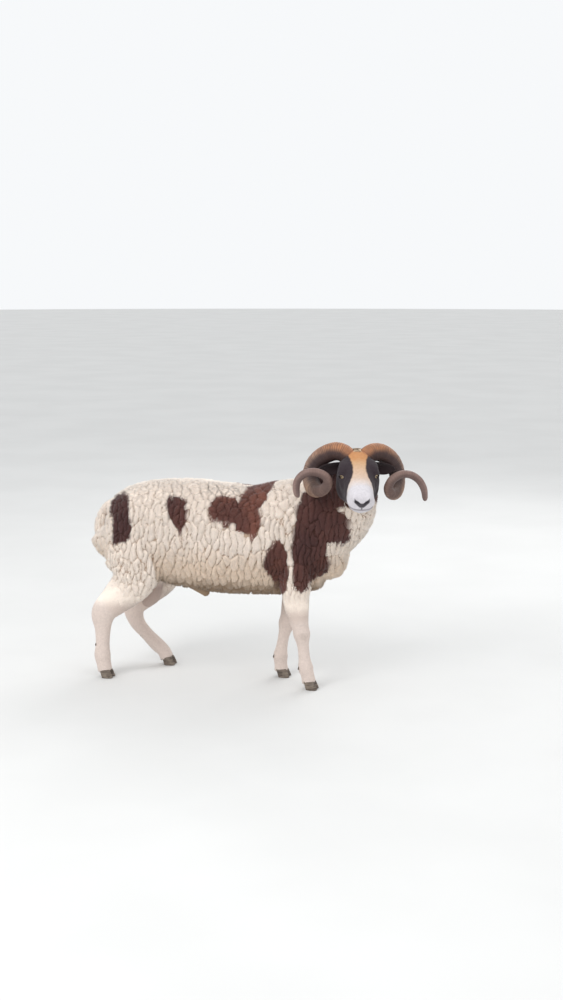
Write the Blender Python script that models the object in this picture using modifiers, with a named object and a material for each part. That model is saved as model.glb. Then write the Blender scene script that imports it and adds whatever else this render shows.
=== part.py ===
"""A life-size standing model of a two-horned Jacob ram with its head turned to its right.

Metres, +X towards the chest, +Y to the ram's left, +Z up, feet on z = 0. Every outline size below is
measured to the tips of the coat, and the coat depth beside it says how much of that is wool.
"""

import math
import random

import bmesh
import bpy
import numpy as np
from mathutils import Matrix, Vector

# Whole animal
ORIGIN_SHIFT = Vector((-0.1610, 0.0813, 0.0))  # sets the middle of the outline over the origin
GAP = 0.0003  # between touching nodes
CORE_SHARE = 0.5  # how much of the coat depth the solid core leaves to the clumps
RING_SIDES = 28
VOXEL = 0.0055
SEED = 11

# Barrel: x, top, bottom, half width, coat depth
BARREL = (
    (-0.390, 0.588, 0.470, 0.060, 0.026),
    (-0.372, 0.620, 0.410, 0.104, 0.030),
    (-0.320, 0.659, 0.372, 0.134, 0.034),
    (-0.240, 0.691, 0.352, 0.149, 0.036),
    (-0.150, 0.703, 0.333, 0.154, 0.036),
    (-0.050, 0.703, 0.315, 0.161, 0.036),
    (0.060, 0.694, 0.307, 0.166, 0.036),
    (0.140, 0.688, 0.308, 0.163, 0.036),
    (0.220, 0.700, 0.311, 0.157, 0.036),
    (0.300, 0.704, 0.316, 0.150, 0.036),
    (0.370, 0.690, 0.322, 0.136, 0.034),
    (0.432, 0.650, 0.332, 0.112, 0.030),
    (0.460, 0.590, 0.366, 0.080, 0.028),
    (0.476, 0.530, 0.420, 0.046, 0.024),
)

# Tubes: x, y, z, fore-and-aft (or dorsal) half size, sideways half size, coat depth
NECK = (
    (0.230, 0.000, 0.535, 0.172, 0.142, 0.036),
    (0.342, -0.006, 0.565, 0.164, 0.130, 0.034),
    (0.440, -0.022, 0.628, 0.143, 0.108, 0.032),
    (0.492, -0.052, 0.694, 0.100, 0.086, 0.028),
    (0.516, -0.082, 0.752, 0.070, 0.062, 0.016),
    (0.530, -0.106, 0.790, 0.052, 0.050, 0.008),
)
TAIL = (
    (-0.340, 0.000, 0.612, 0.024, 0.034, 0.014),
    (-0.384, 0.000, 0.582, 0.030, 0.038, 0.018),
    (-0.406, 0.000, 0.530, 0.030, 0.040, 0.018),
    (-0.406, 0.000, 0.475, 0.026, 0.034, 0.016),
    (-0.396, 0.000, 0.432, 0.013, 0.019, 0.010),
)
FORE_NEAR = (
    (0.318, -0.088, 0.470, 0.075, 0.052, 0.030),
    (0.314, -0.096, 0.400, 0.064, 0.050, 0.028),
    (0.313, -0.090, 0.335, 0.051, 0.042, 0.020),
    (0.317, -0.084, 0.270, 0.041, 0.034, 0.010),
    (0.327, -0.080, 0.215, 0.029, 0.028, 0.002),
    (0.331, -0.079, 0.190, 0.028, 0.027, 0.001),
    (0.336, -0.078, 0.150, 0.021, 0.021, 0.001),
    (0.341, -0.078, 0.105, 0.021, 0.021, 0.001),
    (0.345, -0.078, 0.075, 0.026, 0.026, 0.001),
    (0.352, -0.078, 0.048, 0.023, 0.024, 0.001),
    (0.357, -0.078, 0.022, 0.025, 0.025, 0.001),
)
FORE_FAR = (
    (0.300, 0.088, 0.470, 0.075, 0.052, 0.030),
    (0.296, 0.092, 0.400, 0.064, 0.048, 0.028),
    (0.282, 0.084, 0.335, 0.051, 0.042, 0.020),
    (0.267, 0.072, 0.270, 0.041, 0.034, 0.010),
    (0.253, 0.063, 0.215, 0.029, 0.028, 0.002),
    (0.248, 0.060, 0.190, 0.028, 0.027, 0.001),
    (0.239, 0.056, 0.150, 0.021, 0.021, 0.001),
    (0.231, 0.053, 0.105, 0.021, 0.021, 0.001),
    (0.227, 0.051, 0.075, 0.026, 0.026, 0.001),
    (0.228, 0.051, 0.048, 0.023, 0.024, 0.001),
    (0.230, 0.051, 0.022, 0.025, 0.025, 0.001),
)
HIND_NEAR = (
    (-0.275, -0.082, 0.580, 0.088, 0.052, 0.030),
    (-0.266, -0.096, 0.480, 0.104, 0.062, 0.032),
    (-0.255, -0.104, 0.405, 0.105, 0.060, 0.030),
    (-0.270, -0.104, 0.345, 0.076, 0.050, 0.022),
    (-0.326, -0.102, 0.285, 0.056, 0.038, 0.010),
    (-0.368, -0.100, 0.245, 0.046, 0.032, 0.003),
    (-0.379, -0.099, 0.215, 0.041, 0.029, 0.001),
    (-0.380, -0.098, 0.175, 0.029, 0.025, 0.001),
    (-0.382, -0.097, 0.120, 0.025, 0.023, 0.001),
    (-0.384, -0.096, 0.080, 0.029, 0.027, 0.001),
    (-0.380, -0.096, 0.052, 0.026, 0.025, 0.001),
    (-0.375, -0.096, 0.022, 0.026, 0.025, 0.001),
)
HIND_FAR = (
    (-0.262, 0.082, 0.580, 0.088, 0.052, 0.030),
    (-0.245, 0.096, 0.480, 0.112, 0.062, 0.032),
    (-0.225, 0.104, 0.405, 0.108, 0.060, 0.030),
    (-0.238, 0.104, 0.330, 0.080, 0.050, 0.022),
    (-0.292, 0.104, 0.258, 0.052, 0.038, 0.010),
    (-0.328, 0.104, 0.217, 0.042, 0.032, 0.003),
    (-0.333, 0.105, 0.188, 0.036, 0.029, 0.001),
    (-0.320, 0.107, 0.148, 0.028, 0.025, 0.001),
    (-0.286, 0.109, 0.108, 0.024, 0.022, 0.001),
    (-0.250, 0.111, 0.072, 0.026, 0.026, 0.001),
    (-0.224, 0.112, 0.048, 0.024, 0.025, 0.001),
    (-0.212, 0.112, 0.022, 0.025, 0.025, 0.001),
)
SCROTUM = (
    (-0.200, 0.000, 0.400, 0.030, 0.032, 0.004),
    (-0.212, 0.000, 0.345, 0.030, 0.032, 0.004),
    (-0.226, 0.000, 0.305, 0.035, 0.040, 0.004),
    (-0.238, 0.000, 0.270, 0.034, 0.040, 0.004),
    (-0.248, 0.000, 0.242, 0.016, 0.020, 0.003),
)
SHEATH = (
    (-0.120, 0.000, 0.365, 0.030, 0.030, 0.006),
    (-0.070, 0.000, 0.333, 0.026, 0.026, 0.006),
    (-0.036, 0.000, 0.306, 0.018, 0.018, 0.004),
    (-0.026, 0.000, 0.290, 0.011, 0.011, 0.002),
)

# Head: its own frame starts at the poll, runs along the face, and dips below the horizontal
POLL = Vector((0.5276, -0.1326, 0.842))
HEAD_TURN = math.radians(15)  # how far the face points forward of square to the ram's right
FACE_DIP = math.radians(29)
# along the face, top, bottom, half width, squareness
SKULL = (
    (-0.034, -0.030, -0.100, 0.034, 2.0),
    (-0.010, -0.008, -0.125, 0.052, 2.1),
    (0.025, 0.002, -0.146, 0.063, 2.2),
    (0.060, 0.004, -0.156, 0.069, 2.3),
    (0.088, 0.001, -0.156, 0.070, 2.3),
    (0.112, -0.003, -0.148, 0.060, 2.4),
    (0.132, -0.006, -0.138, 0.053, 2.4),
    (0.155, -0.008, -0.120, 0.048, 2.4),
    (0.180, -0.010, -0.106, 0.044, 2.4),
    (0.205, -0.010, -0.095, 0.042, 2.4),
    (0.224, -0.013, -0.088, 0.038, 2.3),
    (0.236, -0.020, -0.079, 0.029, 2.1),
    (0.241, -0.034, -0.068, 0.015, 2.0),
)
# swellings on the skull: along, up, out, half sizes along, up, out
MASSES = {
    "brow": (0.071, -0.021, 0.042, 0.038, 0.017, 0.024),
    "cheek": (0.078, -0.096, 0.040, 0.048, 0.046, 0.030),
    "orbit": (0.086, -0.035, 0.049, 0.029, 0.022, 0.020),
    "lip": (0.208, -0.054, 0.024, 0.027, 0.022, 0.020),
    "nostril": (0.224, -0.027, 0.020, 0.016, 0.013, 0.014),
}
CHIN = (0.203, -0.086, 0.000, 0.022, 0.013, 0.022)

EYE_PLACE = (0.095, -0.036, 0.0470)
EYE_RADIUS = 0.0145
EYE_FORWARD = 0.95  # how far the eye looks along the face, against 1 out to the side
LID_LENGTH = 0.0135
LID_OPENING = 0.0070
LID_THICKNESS = 0.0030
LID_DROOP = -0.0008
SLIT_SIDES = 16
SLIT_TAPER = 0.75  # the slit's share of its width at the eye's middle
SOCKET_CLEARANCE = 0.0004
MOUTH_RISE = -0.064
MOUTH_BACK = 0.150
MOUTH_DEPTH = 0.006
NOSTRIL_RADIUS = 0.0056

EAR_ROOT = (0.008, -0.066, 0.047)
EAR_LENGTH = 0.082
EAR_WIDTH = 0.022
EAR_WALL = 0.0042
EAR_CUP = 0.016
EAR_OUT = 0.97
EAR_BACK = -0.16
EAR_UP = -0.22
EAR_GRID = (9, 6)

# Horns: up from the poll, out, back and down, then forwards beside the cheek and up again in a hook
# out, up, forward of the poll, radius
HORN_LINES = {
    -1: (
        (0.0130, -0.0540, 0.002, 0.0250),
        (0.0320, -0.0240, -0.006, 0.0290),
        (0.0570, -0.0110, -0.016, 0.0303),
        (0.0860, -0.0155, -0.030, 0.0305),
        (0.1210, -0.0375, -0.045, 0.0300),
        (0.1430, -0.0700, -0.055, 0.0295),
        (0.1490, -0.1050, -0.045, 0.0290),
        (0.1430, -0.1300, -0.012, 0.0280),
        (0.1310, -0.1335, 0.026, 0.0235),
        (0.1130, -0.1250, 0.055, 0.0190),
        (0.1000, -0.1020, 0.070, 0.0165),
        (0.1120, -0.0775, 0.074, 0.0148),
        (0.1460, -0.0660, 0.070, 0.0140),
        (0.1800, -0.0740, 0.064, 0.0135),
        (0.2000, -0.1000, 0.060, 0.0130),
        (0.2020, -0.1310, 0.060, 0.0115),
        (0.1955, -0.1510, 0.062, 0.0085),
    ),
    1: (
        (0.0130, -0.0540, 0.002, 0.0250),
        (0.0320, -0.0250, -0.006, 0.0290),
        (0.0565, -0.0135, -0.016, 0.0298),
        (0.0850, -0.0190, -0.030, 0.0300),
        (0.1160, -0.0430, -0.045, 0.0290),
        (0.1350, -0.0770, -0.055, 0.0275),
        (0.1390, -0.1122, -0.045, 0.0265),
        (0.1320, -0.1380, -0.015, 0.0255),
        (0.1200, -0.1460, 0.020, 0.0225),
        (0.1048, -0.1390, 0.050, 0.0185),
        (0.0970, -0.1179, 0.066, 0.0160),
        (0.1082, -0.0929, 0.072, 0.0145),
        (0.1352, -0.0761, 0.070, 0.0138),
        (0.1673, -0.0771, 0.064, 0.0132),
        (0.1957, -0.0949, 0.060, 0.0128),
        (0.2133, -0.1250, 0.060, 0.0118),
        (0.2185, -0.1650, 0.062, 0.0085),
    ),
}
HORN_SIDES = 10
HORN_RINGS = 31
HORN_RIDGE = 0.0018
HORN_END = (0.90, 0.50)  # girth of the last two rings, which round the tip

# Hooves: two claws to a foot
FEET = {
    "fore_right": ((0.357, -0.078), 0.0),
    "fore_left": ((0.231, 0.051), 0.0),
    "hind_right": ((-0.374, -0.096), 0.0),
    "hind_left": ((-0.210, 0.112), 0.0),
}
HOOF_HEIGHT = 0.030
HOOF_LENGTH = 0.034
HOOF_HALF_WIDTH = 0.0115
CLAW_SPLIT = 0.0135
HOOF_TOE = 0.010

# Where the body is parted: start point, direction away from the body, half depth, half width, length
PARTINGS = {
    "head": ((0.515, -0.084, 0.742), (0.21, -0.77, 0.45), 0.30, 0.30, 0.50),
    "neck": ((0.352, -0.010, 0.600), (0.80, -0.17, 0.57), 0.26, 0.26, 0.50),
    "tail": ((-0.388, 0.0, 0.540), (-0.97, 0.0, 0.24), 0.12, 0.05, 0.20),
    "scrotum": ((-0.205, 0.0, 0.345), (-0.20, 0.0, -0.98), 0.06, 0.0415, 0.20),
    "foreleg_right_upper": ((0.314, -0.098, 0.385), (0.03, 0.03, -0.99), 0.076, 0.060, 0.30),
    "foreleg_left_upper": ((0.292, 0.096, 0.385), (-0.16, -0.13, -0.97), 0.076, 0.060, 0.30),
    "hindleg_right_upper": ((-0.268, -0.114, 0.430), (-0.28, 0.01, -0.96), 0.135, 0.070, 0.40),
    "hindleg_left_upper": ((-0.236, 0.114, 0.430), (-0.24, 0.00, -0.97), 0.135, 0.070, 0.40),
    "foreleg_right_lower": ((0.328, -0.080, 0.205), (0.08, 0.0, -1.0), 0.08, 0.08, 0.30),
    "foreleg_left_lower": ((0.251, 0.061, 0.205), (-0.16, -0.06, -1.0), 0.08, 0.08, 0.30),
    "hindleg_right_lower": ((-0.381, -0.099, 0.195), (-0.03, 0.0, -1.0), 0.08, 0.08, 0.30),
    "hindleg_left_lower": ((-0.324, 0.105, 0.172), (0.45, 0.0, -0.9), 0.10, 0.08, 0.30),
}
CHILDREN = {
    "torso": ("neck", "tail", "scrotum", "foreleg_right_upper", "foreleg_left_upper",
              "hindleg_right_upper", "hindleg_left_upper"),
    "neck": ("head",),
    "foreleg_right_upper": ("foreleg_right_lower",),
    "foreleg_left_upper": ("foreleg_left_lower",),
    "hindleg_right_upper": ("hindleg_right_lower",),
    "hindleg_left_upper": ("hindleg_left_lower",),
}
# How finely the body is cut into flat faces before it is parted, in triangles for the whole body
BODY_FACES = {"fleece": 2200, "leg": 5600}
HEAD_FACES = 2650  # for the head and the neck together
HEAD_VOXEL = 0.0028
NODES = {
    "torso": "fleece", "neck": "fleece", "tail": "leg", "scrotum": "leg",
    "foreleg_right_upper": "fleece", "foreleg_left_upper": "fleece",
    "hindleg_right_upper": "fleece", "hindleg_left_upper": "fleece",
    "foreleg_right_lower": "leg", "foreleg_left_lower": "leg",
    "hindleg_right_lower": "leg", "hindleg_left_lower": "leg", "head": "head",
}

# Fleece clumps: spacing on each node, then sizes as a share of it
CLUMP_SPACING = {
    "torso": 0.108, "neck": 0.088, "tail": 0.064,
    "foreleg_right_upper": 0.064, "foreleg_left_upper": 0.064,
    "hindleg_right_upper": 0.078, "hindleg_left_upper": 0.078,
}
CLUMP_SIDES = 6
CLUMP_HALF_WIDTH = 0.57
CLUMP_HALF_LENGTH = 0.64
CLUMP_LEAN = 0.16
CLUMP_RINGS = ((-0.45, 1.0), (0.55, 0.78))  # height and girth, as shares of the dome's
LEAST_COAT = 0.012

# name: red, green, blue, roughness, metallic
COLOURS = {
    "cream_fleece": (0.80, 0.70, 0.60, 0.95, 0.0),
    "white_hair": (0.78, 0.70, 0.64, 0.85, 0.0),
    "dark_face": (0.045, 0.030, 0.030, 0.75, 0.0),
    "horn": (0.34, 0.24, 0.19, 0.60, 0.0),
    "eye": (0.20, 0.14, 0.06, 0.10, 0.0),
    "hoof": (0.16, 0.13, 0.11, 0.55, 0.0),
    "bare_skin": (0.62, 0.54, 0.50, 0.80, 0.0),
}

FACING = Vector((math.sin(HEAD_TURN), -math.cos(HEAD_TURN), 0.0))
HEAD_LEFT = Vector((0, 0, 1)).cross(FACING)
FACE_ALONG = FACING * math.cos(FACE_DIP) - Vector((0, 0, math.sin(FACE_DIP)))
FACE_UP = FACING * math.sin(FACE_DIP) + Vector((0, 0, math.cos(FACE_DIP)))


def clear_scene():
    for obj in list(bpy.data.objects):
        bpy.data.objects.remove(obj)


def material(name):
    red, green, blue, roughness, metallic = COLOURS[name]
    made = bpy.data.materials.new(name)
    made.use_nodes = True
    shader = made.node_tree.nodes["Principled BSDF"]
    shader.inputs["Base Color"].default_value = (red, green, blue, 1)
    shader.inputs["Roughness"].default_value = roughness
    shader.inputs["Metallic"].default_value = metallic
    return made


def object_from(name, verts, faces, collection):
    mesh = bpy.data.meshes.new(name)
    mesh.from_pydata([tuple(v) for v in verts], [], faces)
    mesh.update()
    obj = bpy.data.objects.new(name, mesh)
    collection.objects.link(obj)
    return obj


def head_point(along, up, out):
    """A point of the head's own frame, out being towards the ram's left."""
    return POLL + FACE_ALONG * along + FACE_UP * up + HEAD_LEFT * out


def smooth_stations(stations, steps):
    """Catmull-Rom rows between the given rows of numbers."""
    rows = np.array(stations, float)
    ends = np.vstack([2 * rows[0] - rows[1], rows, 2 * rows[-1] - rows[-2]])
    out = []
    for i in range(len(rows) - 1):
        a, b, c, d = ends[i:i + 4]
        for t in np.arange(steps) / steps:
            out.append(0.5 * (2 * b + (c - a) * t + (2 * a - 5 * b + 4 * c - d) * t * t
                              + (3 * b - a - 3 * c + d) * t ** 3))
    out.append(rows[-1])
    return np.array(out)


def rounded(angle, squareness):
    """Unit superellipse."""
    c, s = math.cos(angle), math.sin(angle)
    reach = (abs(c) ** squareness + abs(s) ** squareness) ** (-1 / squareness)
    return c * reach, s * reach


def loft(name, rings, collection):
    """Closes a row of equal rings, each a list of points, with a fan at both ends."""
    count = len(rings[0])
    verts = [p for ring in rings for p in ring]
    faces = []
    for r in range(len(rings) - 1):
        for k in range(count):
            a, b = r * count + k, r * count + (k + 1) % count
            faces.append((a, b, b + count, a + count))
    faces.append(tuple(range(count))[::-1])
    faces.append(tuple(range((len(rings) - 1) * count, len(rings) * count)))
    obj = object_from(name, verts, faces, collection)
    face_out(obj)
    return obj


def face_out(obj):
    bm = bmesh.new()
    bm.from_mesh(obj.data)
    bmesh.ops.recalc_face_normals(bm, faces=bm.faces)
    bm.to_mesh(obj.data)
    bm.free()


def barrel(collection, share):
    rings = []
    for x, top, bottom, half, coat in smooth_stations(BARREL, 4):
        mid, rise = (top + bottom) / 2, (top - bottom) / 2 - coat * share
        wide = max(half - coat * share, 0.02)
        ring = []
        for k in range(RING_SIDES):
            c, s = rounded(2 * math.pi * k / RING_SIDES, 2.25)
            ring.append(Vector((x, wide * c, mid + rise * s)))
        rings.append(ring)
    return loft("barrel", rings, collection)


def tube(name, stations, collection, share, side=Vector((0, 1, 0)), steps=4, count=RING_SIDES):
    """A limb: at each row a rounded ring, square to the path."""
    rows = smooth_stations(stations, steps)
    path = [Vector(r[:3]) for r in rows]
    rings = []
    for i, row in enumerate(rows):
        way = (path[min(i + 1, len(path) - 1)] - path[max(i - 1, 0)]).normalized()
        across = (side - way * side.dot(way)).normalized()
        fore = across.cross(way)
        deep = max(row[3] - row[5] * share, 0.006)
        wide = max(row[4] - row[5] * share, 0.006)
        rings.append([path[i] + fore * deep * math.cos(a) + across * wide * math.sin(a)
                      for a in (2 * math.pi * k / count for k in range(count))])
    return loft(name, rings, collection)


def skull(collection):
    rings = []
    for along, top, bottom, half, square in smooth_stations(SKULL, 3):
        mid, rise = (top + bottom) / 2, (top - bottom) / 2
        ring = []
        for k in range(RING_SIDES):
            c, s = rounded(2 * math.pi * k / RING_SIDES, square)
            ring.append(head_point(along, mid + rise * s, half * c))
        rings.append(ring)
    return loft("skull", rings, collection)


def head_frame(along, up, out):
    """Matrix with its axes along the face, up from it and to the ram's left."""
    rotation = Matrix((FACE_ALONG, FACE_UP, HEAD_LEFT)).transposed().to_4x4()
    return Matrix.Translation(head_point(along, up, out)) @ rotation


def swelling(name, sizes, side, collection):
    along, up, out, half_along, half_up, half_out = sizes
    mesh = bpy.data.meshes.new(name)
    bm = bmesh.new()
    bmesh.ops.create_uvsphere(bm, u_segments=20, v_segments=12, radius=1.0)
    bmesh.ops.scale(bm, vec=(half_along, half_up, half_out), verts=bm.verts)
    bmesh.ops.transform(bm, matrix=head_frame(along, up, out * side), verts=bm.verts)
    bm.to_mesh(mesh)
    bm.free()
    obj = bpy.data.objects.new(name, mesh)
    collection.objects.link(obj)
    face_out(obj)
    return obj


def apply_modifiers(obj):
    """Replaces the object's mesh by the one its modifiers give."""
    graph = bpy.context.evaluated_depsgraph_get()
    graph.update()
    made = bpy.data.meshes.new_from_object(obj.evaluated_get(graph), depsgraph=graph)
    obj.modifiers.clear()
    obj.data = made
    return obj


def join_meshes(name, pieces, collection):
    bm = bmesh.new()
    for piece in pieces:
        piece.data.transform(piece.matrix_world)
        bm.from_mesh(piece.data)
    mesh = bpy.data.meshes.new(name)
    bm.to_mesh(mesh)
    bm.free()
    for piece in pieces:
        bpy.data.objects.remove(piece)
    obj = bpy.data.objects.new(name, mesh)
    collection.objects.link(obj)
    return obj


def head_forms(collection):
    """The skull with its swellings: brows, cheeks, eye rims, lips, nostrils and chin."""
    parts = [skull(collection), swelling("chin", CHIN, 1, collection)]
    for name, sizes in MASSES.items():
        for side in (-1, 1):
            parts.append(swelling(name, sizes, side, collection))
    return parts


def body_forms(collection):
    share = CORE_SHARE
    return [
        barrel(collection, share),
        tube("tail_form", TAIL, collection, share),
        tube("scrotum_form", SCROTUM, collection, share),
        tube("sheath_form", SHEATH, collection, share),
        tube("fore_near", FORE_NEAR, collection, share),
        tube("fore_far", FORE_FAR, collection, share),
        tube("hind_near", HIND_NEAR, collection, share),
        tube("hind_far", HIND_FAR, collection, share),
    ]


def blended(name, parts, voxel, collection):
    """Melts overlapping forms into one soft closed surface."""
    body = join_meshes(name, parts, collection)
    remesh = body.modifiers.new("blend", "REMESH")
    remesh.mode = "VOXEL"
    remesh.voxel_size = voxel
    smooth = body.modifiers.new("soften", "SMOOTH")
    smooth.factor = 0.5
    smooth.iterations = 8
    return apply_modifiers(body)


def block(name):
    """Matrix of a node's block, z running away from the body and y across it, and its half sizes."""
    start, way, deep, wide, length = PARTINGS[name]
    way = Vector(way).normalized()
    across = Vector((1, 0, 0)) if abs(way.y) > 0.6 else Vector((0, 1, 0))
    across = (across - way * across.dot(way)).normalized()
    turn = Matrix((across.cross(way), across, way)).transposed().to_4x4()
    return Matrix.Translation(Vector(start)) @ turn, deep, wide, length


def cutter(name, collection, shift):
    """The block that holds a node, its near face moved by shift along the node's own direction."""
    frame, deep, wide, length = block(name)
    mesh = bpy.data.meshes.new("cutter_" + name)
    bm = bmesh.new()
    bmesh.ops.create_cube(bm, size=1.0)
    bmesh.ops.scale(bm, vec=(2 * (deep - shift), 2 * (wide - shift), length), verts=bm.verts)
    bmesh.ops.translate(bm, vec=(0, 0, length / 2 + shift), verts=bm.verts)
    bmesh.ops.transform(bm, matrix=frame, verts=bm.verts)
    bm.to_mesh(mesh)
    bm.free()
    obj = bpy.data.objects.new("cutter_" + name, mesh)
    collection.objects.link(obj)
    obj.hide_render = True
    obj.display_type = "WIRE"
    return obj


def boolean(obj, operation, tool, solver="MANIFOLD"):
    """Applies one Boolean with an object, or with a collection of closed meshes."""
    modifier = obj.modifiers.new("cut", "BOOLEAN")
    modifier.operation = operation
    modifier.solver = solver
    if isinstance(tool, bpy.types.Collection):
        modifier.operand_type = "COLLECTION"
        modifier.collection = tool
    else:
        modifier.object = tool
    return apply_modifiers(obj)


def largest_surface(obj):
    """Drops every closed surface of the mesh but the largest."""
    bm = bmesh.new()
    bm.from_mesh(obj.data)
    bm.faces.ensure_lookup_table()
    seen, groups = set(), []
    for face in bm.faces:
        if face.index in seen:
            continue
        stack, group = [face], []
        seen.add(face.index)
        while stack:
            now = stack.pop()
            group.append(now)
            for edge in now.edges:
                for other in edge.link_faces:
                    if other.index not in seen:
                        seen.add(other.index)
                        stack.append(other)
        groups.append(group)
    groups.sort(key=lambda g: sum(f.calc_area() for f in g))
    loose = [f for g in groups[:-1] for f in g]
    bmesh.ops.delete(bm, geom=loose, context="FACES")
    bm.to_mesh(obj.data)
    bm.free()
    return obj


def decimate(obj, triangles):
    count = sum(len(p.vertices) - 2 for p in obj.data.polygons)
    if count > triangles:
        modifier = obj.modifiers.new("thin", "DECIMATE")
        modifier.ratio = triangles / count
        apply_modifiers(obj)
    return obj


def trim(obj, helpers):
    """Cuts the node to its exact faces, with the gap on the side of what it grows from."""
    if obj.name in PARTINGS:
        boolean(obj, "INTERSECT", cutter(obj.name, helpers, 0.0))
    for child in CHILDREN.get(obj.name, ()):
        boolean(obj, "DIFFERENCE", cutter(child, helpers, -GAP))
    return largest_surface(obj)


def sphere_mesh(radius, segments, rings, matrix):
    mesh = bpy.data.meshes.new("ball")
    bm = bmesh.new()
    bmesh.ops.create_uvsphere(bm, u_segments=segments, v_segments=rings, radius=radius)
    bmesh.ops.transform(bm, matrix=matrix, verts=bm.verts)
    bm.to_mesh(mesh)
    bm.free()
    return mesh


def eye_frame(side):
    """Matrix at the eye's middle: z looks out of the eye, x runs along the slit."""
    look = (HEAD_LEFT * side + FACE_ALONG * EYE_FORWARD + FACE_UP * 0.10).normalized()
    slit = (FACE_ALONG - FACE_UP * 0.12).normalized()
    slit = (slit - look * slit.dot(look)).normalized()
    rotation = Matrix((slit, look.cross(slit), look)).transposed().to_4x4()
    along, up, out = EYE_PLACE
    return Matrix.Translation(head_point(along, up, out * side)) @ rotation


def eyeball(side, collection, grow=0.0):
    name = "eye_left" if side > 0 else "eye_right"
    mesh = sphere_mesh(EYE_RADIUS + grow, 16, 10, eye_frame(side))
    obj = bpy.data.objects.new(name if not grow else name + "_socket", mesh)
    collection.objects.link(obj)
    return obj


def lid_slit(side, collection):
    """An almond block that opens the lids from the eye's middle outwards."""
    frame = eye_frame(side)
    rings = []
    for depth, spread in ((0.0, SLIT_TAPER), (EYE_RADIUS + 2 * LID_THICKNESS, 1.0)):
        ring = []
        for k in range(SLIT_SIDES):
            turn = 2 * math.pi * k / SLIT_SIDES
            rise = math.sin(turn) * abs(math.sin(turn)) ** 0.3
            ring.append(frame @ Vector((spread * LID_LENGTH * math.cos(turn),
                                        spread * LID_OPENING * rise + LID_DROOP, depth)))
        rings.append(ring)
    return loft("slit", rings, collection)


def mouth_groove(collection):
    """A thin wedge bent round the muzzle: cutting it leaves the line between the lips."""
    rows, steps = [], 9
    for k in range(-steps, steps + 1):
        t = k / steps
        along = MOUTH_BACK + (0.243 - MOUTH_BACK) * math.cos(t * math.pi / 2) ** 0.8
        out = 0.0415 * math.sin(t * math.pi / 2) + 0.004 * t
        up = MOUTH_RISE + 0.014 * (abs(t) ** 2.2)
        inward = Vector((-(along - 0.15), 0, -out)).normalized()
        reach = 0.011
        tip = head_point(along + inward.x * MOUTH_DEPTH, up, out + inward.z * MOUTH_DEPTH)
        root = head_point(along - inward.x * reach, up, out - inward.z * reach)
        rows.append([tip, root + FACE_UP * 0.0022, root - FACE_UP * 0.0022])
    return loft("mouth", rows, collection)


def nostril_cut(side, collection):
    """A bent slit, wide towards the front and narrow where it curls up and out."""
    rows = []
    for t in (0.0, 0.25, 0.5, 0.75, 1.0):
        along = 0.246 - 0.016 * t
        up = -0.041 + 0.024 * t
        out = (0.0080 + 0.017 * t) * side
        thick = NOSTRIL_RADIUS * (0.75 + 0.5 * math.sin(math.pi * t) - 0.45 * t)
        middle = head_point(along, up, out)
        wide = (FACE_ALONG + HEAD_LEFT * side * 0.6).normalized()
        flat = (FACE_UP - HEAD_LEFT * side * 0.8).normalized()
        rows.append([middle + wide * 0.009 * math.cos(a) + flat * thick * math.sin(a)
                     for a in (2 * math.pi * k / 6 for k in range(6))])
    return loft("nostril", rows, collection)


def finish_head(head):
    """Adds a lid over each eye to the trimmed head, then cuts slits, sockets, nostrils and mouth."""
    cover = bpy.data.collections.new("lids")
    for side in (-1, 1):
        eyeball(side, cover, LID_THICKNESS)
    boolean(head, "UNION", cover)
    empty_collection(cover)
    cuts = bpy.data.collections.new("face_cuts")
    for side in (-1, 1):
        lid_slit(side, cuts)
        nostril_cut(side, cuts)
    mouth_groove(cuts)
    boolean(head, "DIFFERENCE", cuts)
    empty_collection(cuts)
    sockets = bpy.data.collections.new("sockets")
    for side in (-1, 1):
        eyeball(side, sockets, SOCKET_CLEARANCE)
    boolean(head, "DIFFERENCE", sockets)
    empty_collection(sockets)
    return largest_surface(head)


def empty_collection(collection):
    for obj in list(collection.objects):
        bpy.data.objects.remove(obj)
    bpy.data.collections.remove(collection)


def grown(obj, distance, collection):
    """A copy pushed out along its normals, to cut a neighbour clear."""
    copy = bpy.data.objects.new(obj.name + "_grown", obj.data.copy())
    collection.objects.link(copy)
    copy.hide_render = True
    displace = copy.modifiers.new("grow", "DISPLACE")
    displace.strength = distance
    displace.mid_level = 0.0
    return apply_modifiers(copy)


def ear(side, collection):
    """A leaf with a hollow inner face: open strips across it, thickened to a shell."""
    root = head_point(EAR_ROOT[0], EAR_ROOT[1], EAR_ROOT[2] * side)
    way = (HEAD_LEFT * side * EAR_OUT - FACING * EAR_BACK + Vector((0, 0, EAR_UP))).normalized()
    opening = FACING - Vector((0, 0, 0.45))
    opening = (opening - way * opening.dot(way)).normalized()
    across = way.cross(opening)
    rows, columns = EAR_GRID
    verts, faces = [], []
    for r in range(rows + 1):
        t = r / rows
        half = EAR_WIDTH * (0.42 + 0.95 * t) * (1 - t ** 2.6) ** 0.55 + 0.0015
        cup = EAR_CUP * (1.15 - 0.75 * t)
        for c in range(columns + 1):
            u = 2 * c / columns - 1
            hollow = cup * (u * u) * (half / EAR_WIDTH) - 0.006 * t * t
            verts.append(root + way * EAR_LENGTH * t + across * half * u + opening * hollow)
    for r in range(rows):
        for c in range(columns):
            a = r * (columns + 1) + c
            faces.append((a, a + 1, a + columns + 2, a + columns + 1))
    obj = object_from("ear_left" if side > 0 else "ear_right", verts, faces, collection)
    shell = obj.modifiers.new("wall", "SOLIDIFY")
    shell.thickness = EAR_WALL
    shell.offset = 0.0
    apply_modifiers(obj)
    face_out(obj)
    return obj


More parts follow.
